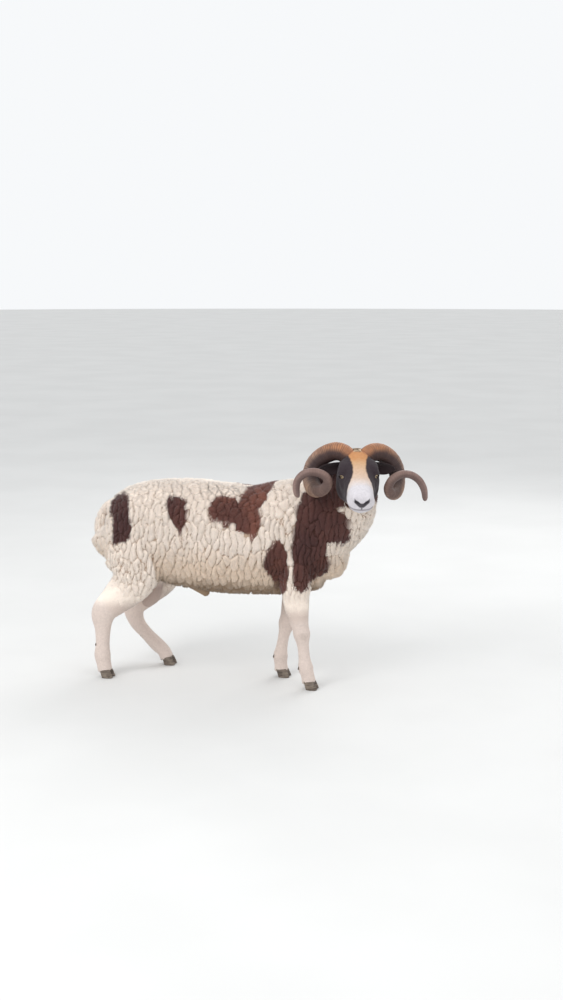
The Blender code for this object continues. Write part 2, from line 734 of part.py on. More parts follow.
def horn_line(side, count):
    """Evenly spaced places along the horn's middle line, with the radius at each."""
    rows = smooth_stations(HORN_LINES[side], 8)
    reach = np.concatenate([[0], np.cumsum(np.linalg.norm(np.diff(rows[:, :3], axis=0), axis=1))])
    even = np.linspace(0, reach[-1], count)
    out, up, forward, radius = (np.interp(even, reach, column) for column in rows.T)
    places = [POLL + HEAD_LEFT * side * o + Vector((0, 0, u)) + FACING * f
              for o, u, f in zip(out, up, forward)]
    return places, radius


def horn(side, collection):
    """A tapering coil with a raised ridge for each ring of growth."""
    steps = 2 * HORN_RINGS
    places, radii = horn_line(side, steps + 1)
    across = Vector((0, 0, 1))
    rings = []
    for i, (here, radius) in enumerate(zip(places, radii)):
        way = (places[min(i + 1, steps)] - places[max(i - 1, 0)]).normalized()
        across = (across - way * across.dot(way)).normalized()
        flank = way.cross(across)
        t = i / steps
        ridge = HORN_RIDGE * (1 - t) ** 0.5 * (1 if i % 2 else -0.3)
        if i > steps - 2:
            radius *= HORN_END[i - steps + 1]
            ridge = 0.0
        reach = radius + ridge
        rings.append([here + across * reach * math.cos(a) + flank * reach * math.sin(a)
                      for a in (2 * math.pi * k / HORN_SIDES for k in range(HORN_SIDES))])
    return loft("horn_left" if side > 0 else "horn_right", rings, collection)


def claw(name, foot, inner, collection):
    """One hoof: a wedge with a flat sole, a sloping front and a rounded heel."""
    (x, y), turn = FEET[foot]
    side = 1 if inner else -1
    outline = ((-0.42, -0.75), (-0.5, 0.0), (-0.42, 0.75), (-0.05, 1.0), (0.30, 0.80),
               (0.52, 0.15), (0.52, -0.30), (0.30, -0.85), (-0.05, -1.0))
    rings = []
    for level, lengthen, widen, forward in (
            (0.0, 0.94, 0.96, HOOF_TOE), (0.12, 1.0, 1.0, HOOF_TOE),
            (0.6, 0.96, 0.98, HOOF_TOE * 0.5), (1.0, 0.90, 0.92, 0.0)):
        rings.append([Vector((x + forward + u * HOOF_LENGTH * lengthen * 1.15,
                              y + side * CLAW_SPLIT + v * HOOF_HALF_WIDTH * widen,
                              level * HOOF_HEIGHT)) for u, v in outline])
    return loft(name, rings, collection)


def clump_sites(surface, spacing, coats, rng):
    """Evenly spread places: a seeded walk over the surface's corners, none too close."""
    order = list(range(len(surface)))
    rng.shuffle(order)
    cells, chosen = {}, []
    for index in order:
        point, _ = surface[index]
        if coats[index] < LEAST_COAT:
            continue
        key = tuple(int(math.floor(c / spacing)) for c in point)
        near = (cells.get((key[0] + i, key[1] + j, key[2] + k), ())
                for i in (-1, 0, 1) for j in (-1, 0, 1) for k in (-1, 0, 1))
        if all((point - other).length > spacing * 0.92 for group in near for other in group):
            cells.setdefault(key, []).append(point)
            chosen.append(index)
    return chosen


def coat_depths(points):
    """Depth of the coat at each point, from the nearest row of the outline tables."""
    rows = [(x, 0.0, (top + bottom) / 2, (top - bottom) / 2, coat)
            for x, top, bottom, half, coat in smooth_stations(BARREL, 4)]
    for stations in (NECK, TAIL, FORE_NEAR, FORE_FAR, HIND_NEAR, HIND_FAR, SCROTUM):
        rows += [(r[0], r[1], r[2], (r[3] + r[4]) / 2, r[5]) for r in smooth_stations(stations, 4)]
    for along, top, bottom, half, _ in smooth_stations(SKULL, 3):
        rows.append((*head_point(along, (top + bottom) / 2, 0.0), half, 0.0))
    rows = np.array(rows)
    points = np.array(points)
    away = np.linalg.norm(points[:, None, :] - rows[None, :, :3], axis=2)
    nearest = np.argmin(away / rows[None, :, 3], axis=1)
    return rows[nearest, 4]


def clump(place, normal, lie, spacing, height, rng, collection):
    """One lock of fleece: a rounded dome that leans along the lie, its root sunk in the core."""
    width = spacing * CLUMP_HALF_WIDTH * rng.uniform(0.92, 1.10)
    length = spacing * CLUMP_HALF_LENGTH * rng.uniform(0.92, 1.12)
    tall = height * rng.uniform(0.92, 1.04)
    across = normal.cross(lie).normalized()
    lie = across.cross(normal)
    spin = rng.uniform(0.0, 1.0)
    angles = [2 * math.pi * (k + spin) / CLUMP_SIDES for k in range(CLUMP_SIDES)]
    rings = []
    for level, girth in CLUMP_RINGS:
        middle = place + normal * tall * level + lie * CLUMP_LEAN * spacing * level
        rings.append([middle + lie * length * girth * math.cos(a)
                      + across * width * girth * math.sin(a) for a in angles])
    top = len(CLUMP_RINGS) * CLUMP_SIDES
    verts = [p for ring in rings for p in ring] + [place + normal * tall + lie * CLUMP_LEAN * spacing]
    faces = [tuple(range(CLUMP_SIDES))[::-1]]
    for r in range(len(CLUMP_RINGS) - 1):
        for k in range(CLUMP_SIDES):
            a, b = r * CLUMP_SIDES + k, r * CLUMP_SIDES + (k + 1) % CLUMP_SIDES
            faces.append((a, b, b + CLUMP_SIDES, a + CLUMP_SIDES))
    faces += [(top - CLUMP_SIDES + k, top - CLUMP_SIDES + (k + 1) % CLUMP_SIDES, top)
              for k in range(CLUMP_SIDES)]
    face_out(object_from("clump", verts, faces, collection))


def fleece(node, body, rng):
    """Sets clumps over the node's share of the body, then joins them to it."""
    spacing = CLUMP_SPACING[node.name]
    mesh = body.data
    points = [v.co.copy() for v in mesh.vertices]
    coats = coat_depths(points)
    inside = node_mask(node.name, points)
    surface = [(p, v.normal.copy()) for p, v in zip(points, mesh.vertices)]
    coats = np.where(inside, coats, 0.0)
    group = bpy.data.collections.new("clumps_" + node.name)
    for index in clump_sites(surface, spacing, coats, rng):
        place, normal = surface[index]
        lie = Vector((-0.35, 0.0, -0.94))
        if abs(normal.dot(lie)) > 0.92:
            lie = Vector((-0.94, 0.0, 0.35))
        clump(place, normal, lie, spacing, coats[index] * CORE_SHARE, rng, group)
    boolean(node, "UNION", group)
    empty_collection(group)
    return node


def in_block(name, point):
    frame, deep, wide, length = block(name)
    local = frame.inverted() @ point
    return abs(local.x) < deep and abs(local.y) < wide and 0 < local.z < length


def node_mask(name, points):
    """Which points fall in the block of this node and in none of its children's."""
    return np.array([
        (name not in PARTINGS or in_block(name, p))
        and not any(in_block(child, p) for child in CHILDREN.get(name, ())) for p in points])


def paint(obj, name, materials):
    obj.data.materials.clear()
    obj.data.materials.append(materials[name])


def main():
    clear_scene()
    ram = bpy.data.collections.new("jacob_ram")
    helpers = bpy.data.collections.new("cutters")
    bpy.context.scene.collection.children.link(ram)
    bpy.context.scene.collection.children.link(helpers)
    materials = {name: material(name) for name in COLOURS}
    rng = random.Random(SEED)
    neck = tube("neck_form", NECK, helpers, CORE_SHARE)
    head_parts = head_forms(helpers) + [tube("neck_form", NECK, helpers, CORE_SHARE)]
    body = blended("body", body_forms(helpers) + [neck] + head_forms(helpers), VOXEL, helpers)
    sources = {"head": decimate(blended("face", head_parts, HEAD_VOXEL, helpers), HEAD_FACES)}
    for kind, triangles in BODY_FACES.items():
        sources[kind] = bpy.data.objects.new(kind, body.data.copy())
        helpers.objects.link(sources[kind])
        decimate(sources[kind], triangles)
    for name, kind in NODES.items():
        node = bpy.data.objects.new(name, sources[kind].data.copy())
        ram.objects.link(node)
        if name in CLUMP_SPACING:
            fleece(node, body, rng)
        trim(node, helpers)
    nodes = bpy.data.objects
    head = finish_head(nodes["head"])
    skins = [grown(head, GAP, helpers), grown(nodes["neck"], GAP, helpers)]
    for side in (-1, 1):
        eyeball(side, ram)
        coil, shell = horn(side, ram), ear(side, ram)
        for made in (coil, shell):
            for skin in skins:
                boolean(made, "DIFFERENCE", skin)
        boolean(shell, "DIFFERENCE", grown(coil, GAP, helpers))
    for foot in FEET:
        end, hand = foot.split("_")
        leg = nodes[f"{end}leg_{hand}_lower"]
        for inner in (False, True):
            which = "inner" if inner == (hand == "right") else "outer"
            hoof = claw(f"hoof_{foot}_{which}", foot, inner, ram)
            boolean(leg, "DIFFERENCE", grown(hoof, GAP, helpers))
        largest_surface(leg)
    for obj in ram.objects:
        for key, colour in (("hoof", "hoof"), ("horn", "horn"), ("eye", "eye"), ("ear", "dark_face"),
                            ("head", "dark_face"), ("scrotum", "bare_skin"), ("lower", "white_hair"),
                            ("", "cream_fleece")):
            if key in obj.name:
                paint(obj, colour, materials)
                break
        if obj.name.startswith(("horn", "ear")):
            largest_surface(obj)
    for obj in ram.objects:
        obj.data.transform(Matrix.Translation(ORIGIN_SHIFT))
        obj.data.shade_smooth()
        obj.data.set_sharp_from_angle(angle=math.radians(40))
    for obj in list(helpers.objects):
        bpy.data.objects.remove(obj)


main()
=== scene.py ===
"""The looks of a life-size standing model of a two-horned Jacob ram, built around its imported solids.

Metres, +X towards the chest, +Y to the ram's left, +Z up. The skin repeats the outline tables of the
solids, set in by part of the coat's depth, and the locks of the fleece grow from it out to the outline.
Near and far, in the names of the legs, are seen from the camera, which stands on the ram's right.
"""

import math

import bmesh
import bpy
import numpy as np
from mathutils import Matrix, Vector, kdtree, noise
from mathutils.bvhtree import BVHTree

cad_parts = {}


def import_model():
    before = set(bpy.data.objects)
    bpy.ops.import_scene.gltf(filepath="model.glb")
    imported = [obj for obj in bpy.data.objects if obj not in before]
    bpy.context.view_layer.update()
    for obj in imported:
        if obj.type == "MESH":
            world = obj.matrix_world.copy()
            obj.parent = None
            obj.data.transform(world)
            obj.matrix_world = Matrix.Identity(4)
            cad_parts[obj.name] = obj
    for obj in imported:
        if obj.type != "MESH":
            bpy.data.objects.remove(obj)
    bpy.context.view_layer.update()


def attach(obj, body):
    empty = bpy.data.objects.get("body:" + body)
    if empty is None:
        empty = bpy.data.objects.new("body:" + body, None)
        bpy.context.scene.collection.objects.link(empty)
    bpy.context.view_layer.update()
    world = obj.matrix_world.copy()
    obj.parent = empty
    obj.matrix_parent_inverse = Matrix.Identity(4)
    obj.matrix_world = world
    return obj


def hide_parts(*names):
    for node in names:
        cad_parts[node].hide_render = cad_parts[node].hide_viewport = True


def metres(rows, parts=1000):
    """Rows of lengths in metres, from rows of whole millimetres or of smaller parts."""
    return tuple(tuple(value / parts for value in row) for row in rows)


# Whole animal
ORIGIN_SHIFT = Vector((-0.1610, 0.0813, 0.0))  # from the tables' own origin to the middle of the outline
SKIN_SHARE = 0.17  # how much of the coat depth lies over the skin
RING_SIDES = 40
FORM_STEPS = 5  # rings between two rows of a table
THINNEST = 0.006  # least half size of a form
BODY_VOXEL = 0.0042
HEAD_VOXEL = 0.0019
BODY_SOFTENING = 6  # smoothing passes over the melted forms
HEAD_SOFTENING = 7
LID_SOFTENING = 2
SEED = 11
CHUNK = 20000  # points measured against all rings at a time
SIDES = (-1, 1)  # the ram's right and left
UP = (0.0, 0.0, 1.0)

# Barrel, in millimetres: x, top, bottom, half width, coat depth
BARREL = metres((
    (-390, 588, 470, 60, 26),
    (-372, 620, 410, 104, 30),
    (-320, 659, 372, 134, 34),
    (-240, 691, 352, 149, 36),
    (-150, 703, 333, 154, 36),
    (-50, 703, 315, 161, 36),
    (60, 694, 307, 166, 36),
    (140, 688, 308, 163, 36),
    (220, 700, 311, 157, 36),
    (300, 704, 316, 150, 36),
    (370, 690, 322, 136, 34),
    (432, 650, 332, 112, 30),
    (460, 590, 366, 80, 28),
    (476, 530, 420, 46, 24),
))

BARREL_SQUARENESS = 0.25  # over a round section

# Tubes, in millimetres: x, y, z, half size fore and aft, half size sideways, coat depth
NECK = metres((
    (230, 0, 535, 172, 142, 36),
    (342, -6, 565, 164, 130, 34),
    (440, -22, 628, 143, 108, 32),
    (492, -52, 694, 100, 86, 28),
    (516, -82, 752, 70, 62, 16),
    (530, -106, 790, 52, 50, 8),
))
TAIL = metres((
    (-340, 0, 612, 24, 34, 14),
    (-384, 0, 582, 30, 38, 18),
    (-406, 0, 530, 30, 40, 18),
    (-406, 0, 475, 26, 34, 16),
    (-396, 0, 432, 13, 19, 10),
))
FORE_NEAR = metres((
    (318, -88, 470, 75, 52, 30),
    (314, -96, 400, 64, 50, 28),
    (313, -90, 335, 51, 42, 20),
    (317, -84, 270, 41, 34, 10),
    (327, -80, 215, 29, 28, 2),
    (331, -79, 190, 28, 27, 1),
    (336, -78, 150, 21, 21, 1),
    (341, -78, 105, 21, 21, 1),
    (345, -78, 75, 26, 26, 1),
    (352, -78, 48, 23, 24, 1),
    (357, -78, 22, 25, 25, 1),
))
FORE_FAR = metres((
    (300, 88, 470, 75, 52, 30),
    (296, 92, 400, 64, 48, 28),
    (282, 84, 335, 51, 42, 20),
    (267, 72, 270, 41, 34, 10),
    (253, 63, 215, 29, 28, 2),
    (248, 60, 190, 28, 27, 1),
    (239, 56, 150, 21, 21, 1),
    (231, 53, 105, 21, 21, 1),
    (227, 51, 75, 26, 26, 1),
    (228, 51, 48, 23, 24, 1),
    (230, 51, 22, 25, 25, 1),
))
HIND_NEAR = metres((
    (-275, -82, 580, 88, 52, 30),
    (-266, -96, 480, 104, 62, 32),
    (-255, -104, 405, 105, 60, 30),
    (-270, -104, 345, 76, 50, 22),
    (-326, -102, 285, 56, 38, 10),
    (-368, -100, 245, 46, 32, 3),
    (-379, -99, 215, 41, 29, 1),
    (-380, -98, 175, 29, 25, 1),
    (-382, -97, 120, 25, 23, 1),
    (-384, -96, 80, 29, 27, 1),
    (-380, -96, 52, 26, 25, 1),
    (-375, -96, 22, 26, 25, 1),
))
HIND_FAR = metres((
    (-262, 82, 580, 88, 52, 30),
    (-245, 96, 480, 112, 62, 32),
    (-225, 104, 405, 108, 60, 30),
    (-238, 104, 330, 80, 50, 22),
    (-292, 104, 258, 52, 38, 10),
    (-328, 104, 217, 42, 32, 3),
    (-333, 105, 188, 36, 29, 1),
    (-320, 107, 148, 28, 25, 1),
    (-286, 109, 108, 24, 22, 1),
    (-250, 111, 72, 26, 26, 1),
    (-224, 112, 48, 24, 25, 1),
    (-212, 112, 22, 25, 25, 1),
))
SCROTUM = metres((
    (-200, 0, 400, 30, 32, 4),
    (-212, 0, 345, 30, 32, 4),
    (-226, 0, 305, 35, 40, 4),
    (-238, 0, 270, 34, 40, 4),
    (-248, 0, 242, 16, 20, 3),
))
SHEATH = metres((
    (-120, 0, 365, 30, 30, 6),
    (-70, 0, 333, 26, 26, 6),
    (-36, 0, 306, 18, 18, 4),
    (-26, 0, 290, 11, 11, 2),
))

# Head: its own frame starts at the poll, runs along the face, and dips below the horizontal
POLL = Vector((0.5276, -0.1326, 0.842))
HEAD_TURN = math.radians(15)  # how far the face points forward of square to the ram's right
FACE_DIP = math.radians(29)
# Along the face, top, bottom, half width, squareness
SKULL = (
    (-0.034, -0.030, -0.100, 0.034, 2.0),
    (-0.010, -0.008, -0.125, 0.052, 2.1),
    (0.025, 0.002, -0.146, 0.063, 2.2),
    (0.060, 0.004, -0.156, 0.069, 2.3),
    (0.088, 0.001, -0.156, 0.070, 2.3),
    (0.112, -0.003, -0.148, 0.060, 2.4),
    (0.132, -0.006, -0.138, 0.053, 2.4),
    (0.155, -0.008, -0.120, 0.048, 2.4),
    (0.180, -0.010, -0.106, 0.044, 2.4),
    (0.205, -0.010, -0.095, 0.042, 2.4),
    (0.224, -0.013, -0.088, 0.038, 2.3),
    (0.236, -0.020, -0.079, 0.029, 2.1),
    (0.241, -0.034, -0.068, 0.015, 2.0),
)
# Swellings on the skull: along, up, out, half sizes along, up, out
MASSES = {
    "brow": (0.071, -0.021, 0.042, 0.038, 0.017, 0.024),
    "cheek": (0.078, -0.096, 0.040, 0.048, 0.046, 0.030),
    "orbit": (0.086, -0.035, 0.049, 0.029, 0.022, 0.020),
    "lip": (0.208, -0.054, 0.024, 0.027, 0.022, 0.020),
    "nostril": (0.224, -0.027, 0.020, 0.016, 0.013, 0.014),
}
CHIN = (0.203, -0.086, 0.000, 0.022, 0.013, 0.022)
NECK_STUB = 14  # last rings of the neck, melted with the skull
STUB_INSET = 0.003

# Eyes and lids: the slit is an almond that is wider outside than at the eye's middle
EYE_PLACE = (0.095, -0.036, 0.0470)
EYE_RADIUS = 0.0145
EYE_FORWARD = 0.95  # how far the eye looks along the face, against 1 out to the side
EYE_UP = 0.10
EYE_SLANT = 0.50  # how much the slit rises towards the back of the head
LID_LENGTH = 0.0135
LID_OPENING = 0.0070
LID_SHARPNESS = 0.3  # 0 would make the slit an ellipse, more draws its corners out
LID_THICKNESS = 0.0030
LID_DROOP = -0.0008
SLIT_SIDES = 16
SLIT_TAPER = 0.75  # the slit's share of its width at the eye's middle
SOCKET_CLEARANCE = 0.0004
BALL_CLEARANCE = 0.0002
RIM_RADIUS = {"upper": 0.0023, "lower": 0.0017}
RIM_STEPS = 14
RIM_SPREAD = 1.06  # the rims' middle line against the edge of the slit
RIM_RISE = 0.35  # how far the rims' middle line stands off the eyeball, in rim radii
CORNEA_RISE = 0.0012
PUPIL = (0.0058, 0.0021)
IRIS_RADIUS = 0.0105
GAZE_SCALE = 1000  # the eye's looks are given by places in millimetres

# Mouth and nostrils, in the head's own frame
MOUTH_STEPS = 14
MOUTH_RISE = -0.064
MOUTH_BACK = 0.150
MOUTH_FRONT = 0.243
MOUTH_HALF_WIDTH = 0.0415
MOUTH_CORNER = (0.004, 0.014)  # how much further out and up the corners lie
MOUTH_DEPTH = 0.006
MOUTH_WEDGE = (0.011, 0.0026)  # how far the wedge starts outside, and its half height there
NOSTRIL_RADIUS = 0.0056
NOSTRIL_HALF_LENGTH = 0.009
NOSTRIL_START = (0.246, -0.045, 0.007)  # along, up, out
NOSTRIL_CURL = (-0.016, 0.017, 0.017)  # from the start to the other end

# Ears
EAR_ROOT = (0.005, -0.061, 0.047)
EAR_LENGTH = 0.082
EAR_WIDTH = 0.026
EAR_WALL = 0.0042
EAR_CUP = 0.016
EAR_OUT = 0.97
EAR_BACK = -0.16
EAR_UP = -0.22
EAR_TILT = 0.45  # how far the ear's hollow faces down
EAR_ROWS = 30
EAR_COLUMNS = 18

# Horns: up from the poll, out, back and down, then forwards beside the cheek and up again in a hook
# Tenths of a millimetre: out, up, forward of the poll, radius
HORN_LINES = {
    -1: metres((
        (130, -540, 20, 250),
        (320, -240, -60, 290),
        (570, -110, -160, 303),
        (860, -155, -300, 305),
        (1210, -375, -450, 300),
        (1430, -700, -550, 295),
        (1490, -1050, -450, 290),
        (1430, -1300, -120, 280),
        (1310, -1335, 260, 235),
        (1130, -1250, 550, 190),
        (1000, -1020, 700, 165),
        (1120, -775, 740, 148),
        (1460, -660, 700, 140),
        (1800, -740, 640, 135),
        (2000, -1000, 600, 130),
        (2020, -1310, 600, 115),
        (1955, -1510, 620, 85),
    ), 10000),
    1: metres((
        (130, -540, 20, 250),
        (320, -250, -60, 290),
        (565, -135, -160, 298),
        (850, -190, -300, 300),
        (1160, -430, -450, 290),
        (1350, -770, -550, 275),
        (1390, -1122, -450, 265),
        (1320, -1380, -150, 255),
        (1200, -1460, 200, 225),
        (1048, -1390, 500, 185),
        (970, -1179, 660, 160),
        (1082, -929, 720, 145),
        (1352, -761, 700, 138),
        (1673, -771, 640, 132),
        (1957, -949, 600, 128),
        (2133, -1250, 600, 118),
        (2185, -1650, 620, 85),
    ), 10000),
}

# Hooves: two claws to a foot
FEET = {
    "fore_right": (0.357, -0.078),
    "fore_left": (0.231, 0.051),
    "hind_right": (-0.374, -0.096),
    "hind_left": (-0.210, 0.112),
}
HOOF_HEIGHT = 0.030
HOOF_LENGTH = 0.034
HOOF_HALF_WIDTH = 0.0115
CLAW_SPLIT = 0.0135
HOOF_TOE = 0.010
# The sole's outline in hoof lengths and half widths
CLAW_SOLE = ((-0.42, -0.75), (-0.5, 0.0), (-0.42, 0.75), (-0.05, 1.0), (0.30, 0.80),
             (0.52, 0.15), (0.52, -0.30), (0.30, -0.85), (-0.05, -1.0))
# Share of the height, length and width against the sole, and how much of the toe's reach is kept
CLAW_SHAPE = ((0.0, 0.93, 0.95, 1.0), (0.03, 0.98, 0.99, 1.0), (0.12, 1.0, 1.0, 1.0),
              (0.6, 0.96, 0.98, 0.5), (0.92, 0.91, 0.93, 0.08), (1.0, 0.84, 0.86, 0.0))
CLAW_STEPS = 4
DEWCLAW_ROW = 8  # of a leg's table
DEWCLAW_RADIUS = 0.0056
DEWCLAW_STEPS = 11
DEWCLAW_DROP = (-0.006, 0.0015, -0.009)  # from the stud's root to its tip: back, outwards, down

# Size of the waves and seed, for each use of smooth noise
NOISES = {
    "broad": (0.080, 1), "small": (0.030, 2), "skull": (0.012, 3), "patch_height": (0.045, 4),
    "patch_length": (0.040, 5), "bleach": (0.060, 6), "blaze": (0.010, 7), "smudge": (0.015, 8),
    "horn": (0.016, 13),
}

# Forms on the body: the fleece's waves, the seam of the scrotum, the knees and the tendons below
WAVES = (0.0028, 0.0012)  # heights of the broad and of the small ones
SEAM_PLACES = ((-0.238, 0.265), (-0.233, 0.300))
SEAM_LENGTH = 0.045
SEAM_HALF_WIDTH = 0.006
SEAM_DEPTH = 0.0035
SHIN_REACH = 0.06
KNEE = (0.195, 0.020, 0.0022)  # height over the ground, half height, swell
TENDON = (0.135, 0.030, 0.0016, 0.006)  # height over the ground, half height, depth, half width

# Lips, the parting under the nose and the folds round the eyes
LIPS = ((0.0055, 0.004), (-0.006, 0.005))  # height over the mouth's line and half height
LIP_SWELL = 0.0010
LIP_START = (0.165, 0.205)
PARTING_DEPTH = 0.0022
PARTING_HALF_WIDTH = 0.0016
PARTING_START = (0.222, 0.234)
LID_FOLDS = ((0.0175, 0.0016, 1.0), (0.0205, 0.0018, -0.6))  # radius, half width, share of the depth
LID_FOLD_DEPTHS = (0.0011, 0.0007)  # above and below the eye
SKULL_UNEVENNESS = 0.0006

# Hollows pressed into the face and swells raised on it: along, up, out, radius, height
FACE_MARKS = {
    "tear_pit": (0.127, -0.052, 0.044, 0.011, -0.0032),
    "temple": (0.058, -0.028, 0.064, 0.022, -0.0030),
    "jaw_hollow": (0.135, -0.096, 0.044, 0.026, -0.0032),
    "nose_side": (0.172, -0.044, 0.041, 0.020, -0.0022),
    "cheek_bone": (0.118, -0.066, 0.052, 0.013, 0.0022),
    "nose_bone": (0.150, -0.006, 0.022, 0.022, 0.0012),
    "nostril_wing": (0.228, -0.036, 0.024, 0.010, 0.0018),
    "lip_corner": (0.158, -0.078, 0.046, 0.009, 0.0016),
    "jaw_edge": (0.060, -0.140, 0.046, 0.022, 0.0024),
}

# Dark patches in side view, in millimetres: x and height, the height carried on over the back
PATCHES = {
    "right": {
        "rump": ((-348, 639), (-305, 654), (-280, 652), (-265, 611), (-255, 560), (-255, 522),
            (-263, 503), (-300, 494), (-324, 487), (-329, 516), (-326, 568), (-340, 599)),
        "flank": ((-136, 648), (-122, 657), (-91, 658), (-68, 645), (-55, 615), (-56, 581), (-67, 551),
            (-76, 539), (-91, 556), (-106, 571), (-123, 592), (-131, 623)),
        "saddle": ((20, 618), (22, 647), (38, 659), (57, 662), (79, 655), (105, 660), (117, 645),
            (124, 666), (129, 700), (137, 760), (145, 840), (224, 840), (221, 676), (210, 650),
            (192, 623), (203, 591), (197, 562), (180, 541), (162, 548), (145, 545), (126, 551),
            (112, 578), (85, 584), (59, 584), (37, 591)),
        "elbow": ((270, 532), (282, 505), (297, 481), (296, 413), (289, 358), (269, 334), (240, 330),
            (237, 379), (233, 402), (216, 419), (217, 457), (227, 481), (244, 499), (257, 525)),
        "shoulder": ((345, 700), (332, 664), (319, 643), (324, 595), (313, 544), (308, 494),
            (312, 441), (315, 402), (309, 360), (338, 349), (355, 351), (369, 385), (392, 399),
            (416, 404), (427, 444), (427, 486), (425, 506), (450, 515), (479, 508), (497, 530),
            (501, 580), (510, 597), (474, 625), (456, 640), (480, 648), (530, 640), (600, 660),
            (640, 900), (450, 900), (392, 800), (352, 740)),
    },
    "left": {
        "haunch": ((-318, 640), (-262, 672), (-210, 640), (-218, 560), (-258, 505), (-306, 512),
            (-322, 570)),
        "saddle": ((52, 690), (140, 820), (240, 820), (252, 690), (215, 600), (150, 560), (85, 590)),
        "loin": ((-120, 610), (-50, 640), (-5, 590), (-30, 500), (-95, 480), (-135, 540)),
        "shoulder": ((372, 640), (420, 760), (450, 900), (640, 900), (600, 640), (500, 560),
            (455, 470), (405, 400), (350, 395), (345, 500)),
    },
}
# How far each patch is bleached by the sun
REDDENED = {"rump": 0.15, "haunch": 0.15, "saddle": 1.0, "elbow": 0.55, "flank": 0.35, "shoulder": 0.35,
            "loin": 0.4}
BLEACHING = (0.45, 0.55)  # least share of that, and what the noise adds at most
PATCH_EDGE = 0.004
PATCH_WOBBLE = 0.0045
MIDLINE = 0.02  # where the right side's patches end and the left side's begin
BACK_EDGE = 0.115  # how far out from the spine the height starts to be carried on over the back
BACK_START = (0.672, 0.700)
THROAT = ((0.540, 0.585), 0.040, 0.055)  # middle in side view, half length and half height of the cream

# The blaze down the face: along, half width
BLAZE = ((-0.040, 0.036), (0.018, 0.035), (0.040, 0.030), (0.058, 0.0255), (0.094, 0.0205),
         (0.115, 0.0212), (0.130, 0.024), (0.151, 0.032), (0.166, 0.040), (0.187, 0.062), (0.260, 0.080))
BLAZE_EDGE = 0.0028
BLAZE_WOBBLE = 0.0026
BLAZE_FLOOR = -0.050  # how far down the side of the face the blaze may reach before the muzzle
MUZZLE_START = 0.168
JAW_START = (0.02, 0.05)  # along the face, for the pale underside of the jaw
JAW_BELOW = (0.112, 0.124)
JAW_HALF_WIDTH = 0.045
# the cream under the jaw is painted this much darker, a painted shade under the jaw, and laid on by this
# share
JAW_SHADE = 0.8

# Colours of the coat at its tips, linear red, green and blue
CREAM = (1.000, 0.890, 0.795)
# painted shade, a dark brown, under the belly and the sheath
BELLY_SHADE = (0.330, 0.230, 0.150)
LOW_DARKENING = (0.86, 0.79, 0.71)  # what is left of each colour low on the sides, darker and browner towards the bottom
DARK_WOOL = (0.071, 0.034, 0.035)
RED_WOOL = (0.267, 0.107, 0.077)
FACE_DARK = (0.030, 0.020, 0.025)
# The blaze's colours along the face
FACE_STOPS = (
    (-0.030, (0.550, 0.378, 0.241)),
    (-0.004, (0.550, 0.344, 0.181)),
    (0.020, (0.499, 0.224, 0.086)),
    (0.056, (0.507, 0.241, 0.099)),
    (0.078, (0.550, 0.335, 0.185)),
    (0.112, (0.593, 0.408, 0.284)),
    (0.146, (0.593, 0.447, 0.353)),
    (0.166, (0.636, 0.550, 0.507)),
    (0.185, (0.619, 0.593, 0.619)),
    (0.260, (0.602, 0.572, 0.602)),
)
PAD_START = (0.206, 0.216)
PAD_MIDDLE = -0.046  # height of the bare V's foot
PAD_SLOPE = 0.95
PAD_HALF_HEIGHT = 0.0088
PAD_HALF_WIDTH = 0.0265
PAD_PARTING = 0.0019  # half width of the bare parting
NOSE_PAD = (0.062, 0.055, 0.064)
LIP_GREY = (0.134, 0.116, 0.134)
LID_DARK = (0.030, 0.020, 0.018)
LEG_WHITE = (0.654, 0.550, 0.494)
KNEE_SMUDGE = ((0.338, -0.096, 0.192), 0.011, (0.520, 0.430, 0.380))  # place, radius, colour
EAR_DARK = (0.030, 0.018, 0.020)
# the scrotum's greyish skin, partly its own colour and partly a painted shade between the hind legs
SCROTUM_SKIN_AND_SHADE = (0.447, 0.344, 0.301)
# Heights with their sign turned, over which a colour sets in on the way down
LOW_DARKENING_START = (-0.520, -0.400)
BELLY_SHADE_START = (-0.395, -0.330)
LEG_WHITE_START = (-0.300, -0.255)
SCROTUM_START = (-0.36, -0.31)

# Colours of the finishes
WARM_ROOTS = (0.75, 0.56, 0.42)
UNDER_WOOL = (1.00, 0.98, 0.96)
# painted shade in the cracks between the fleece's staples, on the skin under the locks
CRACK_SHADE = (0.42, 0.34, 0.28)
HORN_STOPS = (
    (0.00, (0.368, 0.166, 0.078)),
    (0.07, (0.442, 0.189, 0.083)),
    (0.18, (0.432, 0.202, 0.101)),
    (0.27, (0.368, 0.230, 0.166)),
    (0.40, (0.304, 0.198, 0.152)),
    (0.49, (0.386, 0.244, 0.161)),
    (0.57, (0.276, 0.170, 0.129)),
    (0.66, (0.207, 0.133, 0.110)),
    (0.82, (0.230, 0.147, 0.127)),
    (1.00, (0.313, 0.216, 0.189)),
)
HORN_MOTTLE = (0.130, 0.075, 0.060)
# painted shade in the grooves between the growth rings, and inside the curl
HORN_GROOVE_SHADE = (0.070, 0.038, 0.032)
HORN_CURL_SHADE = (0.040, 0.024, 0.026)
HOOF_DARK = (0.060, 0.046, 0.038)
HOOF_PALE = (0.200, 0.155, 0.120)
HOOF_STAIN = (0.30, 0.25, 0.20)
IRIS_BROWN = (0.300, 0.190, 0.090)
IRIS_AMBER = (0.560, 0.420, 0.240)
IRIS_RIM = (0.035, 0.022, 0.018)
PUPIL_BLACK = (0.004, 0.004, 0.006)
FLOOR_SHADES = ((0.69, 0.69, 0.68), (0.72, 0.72, 0.71))

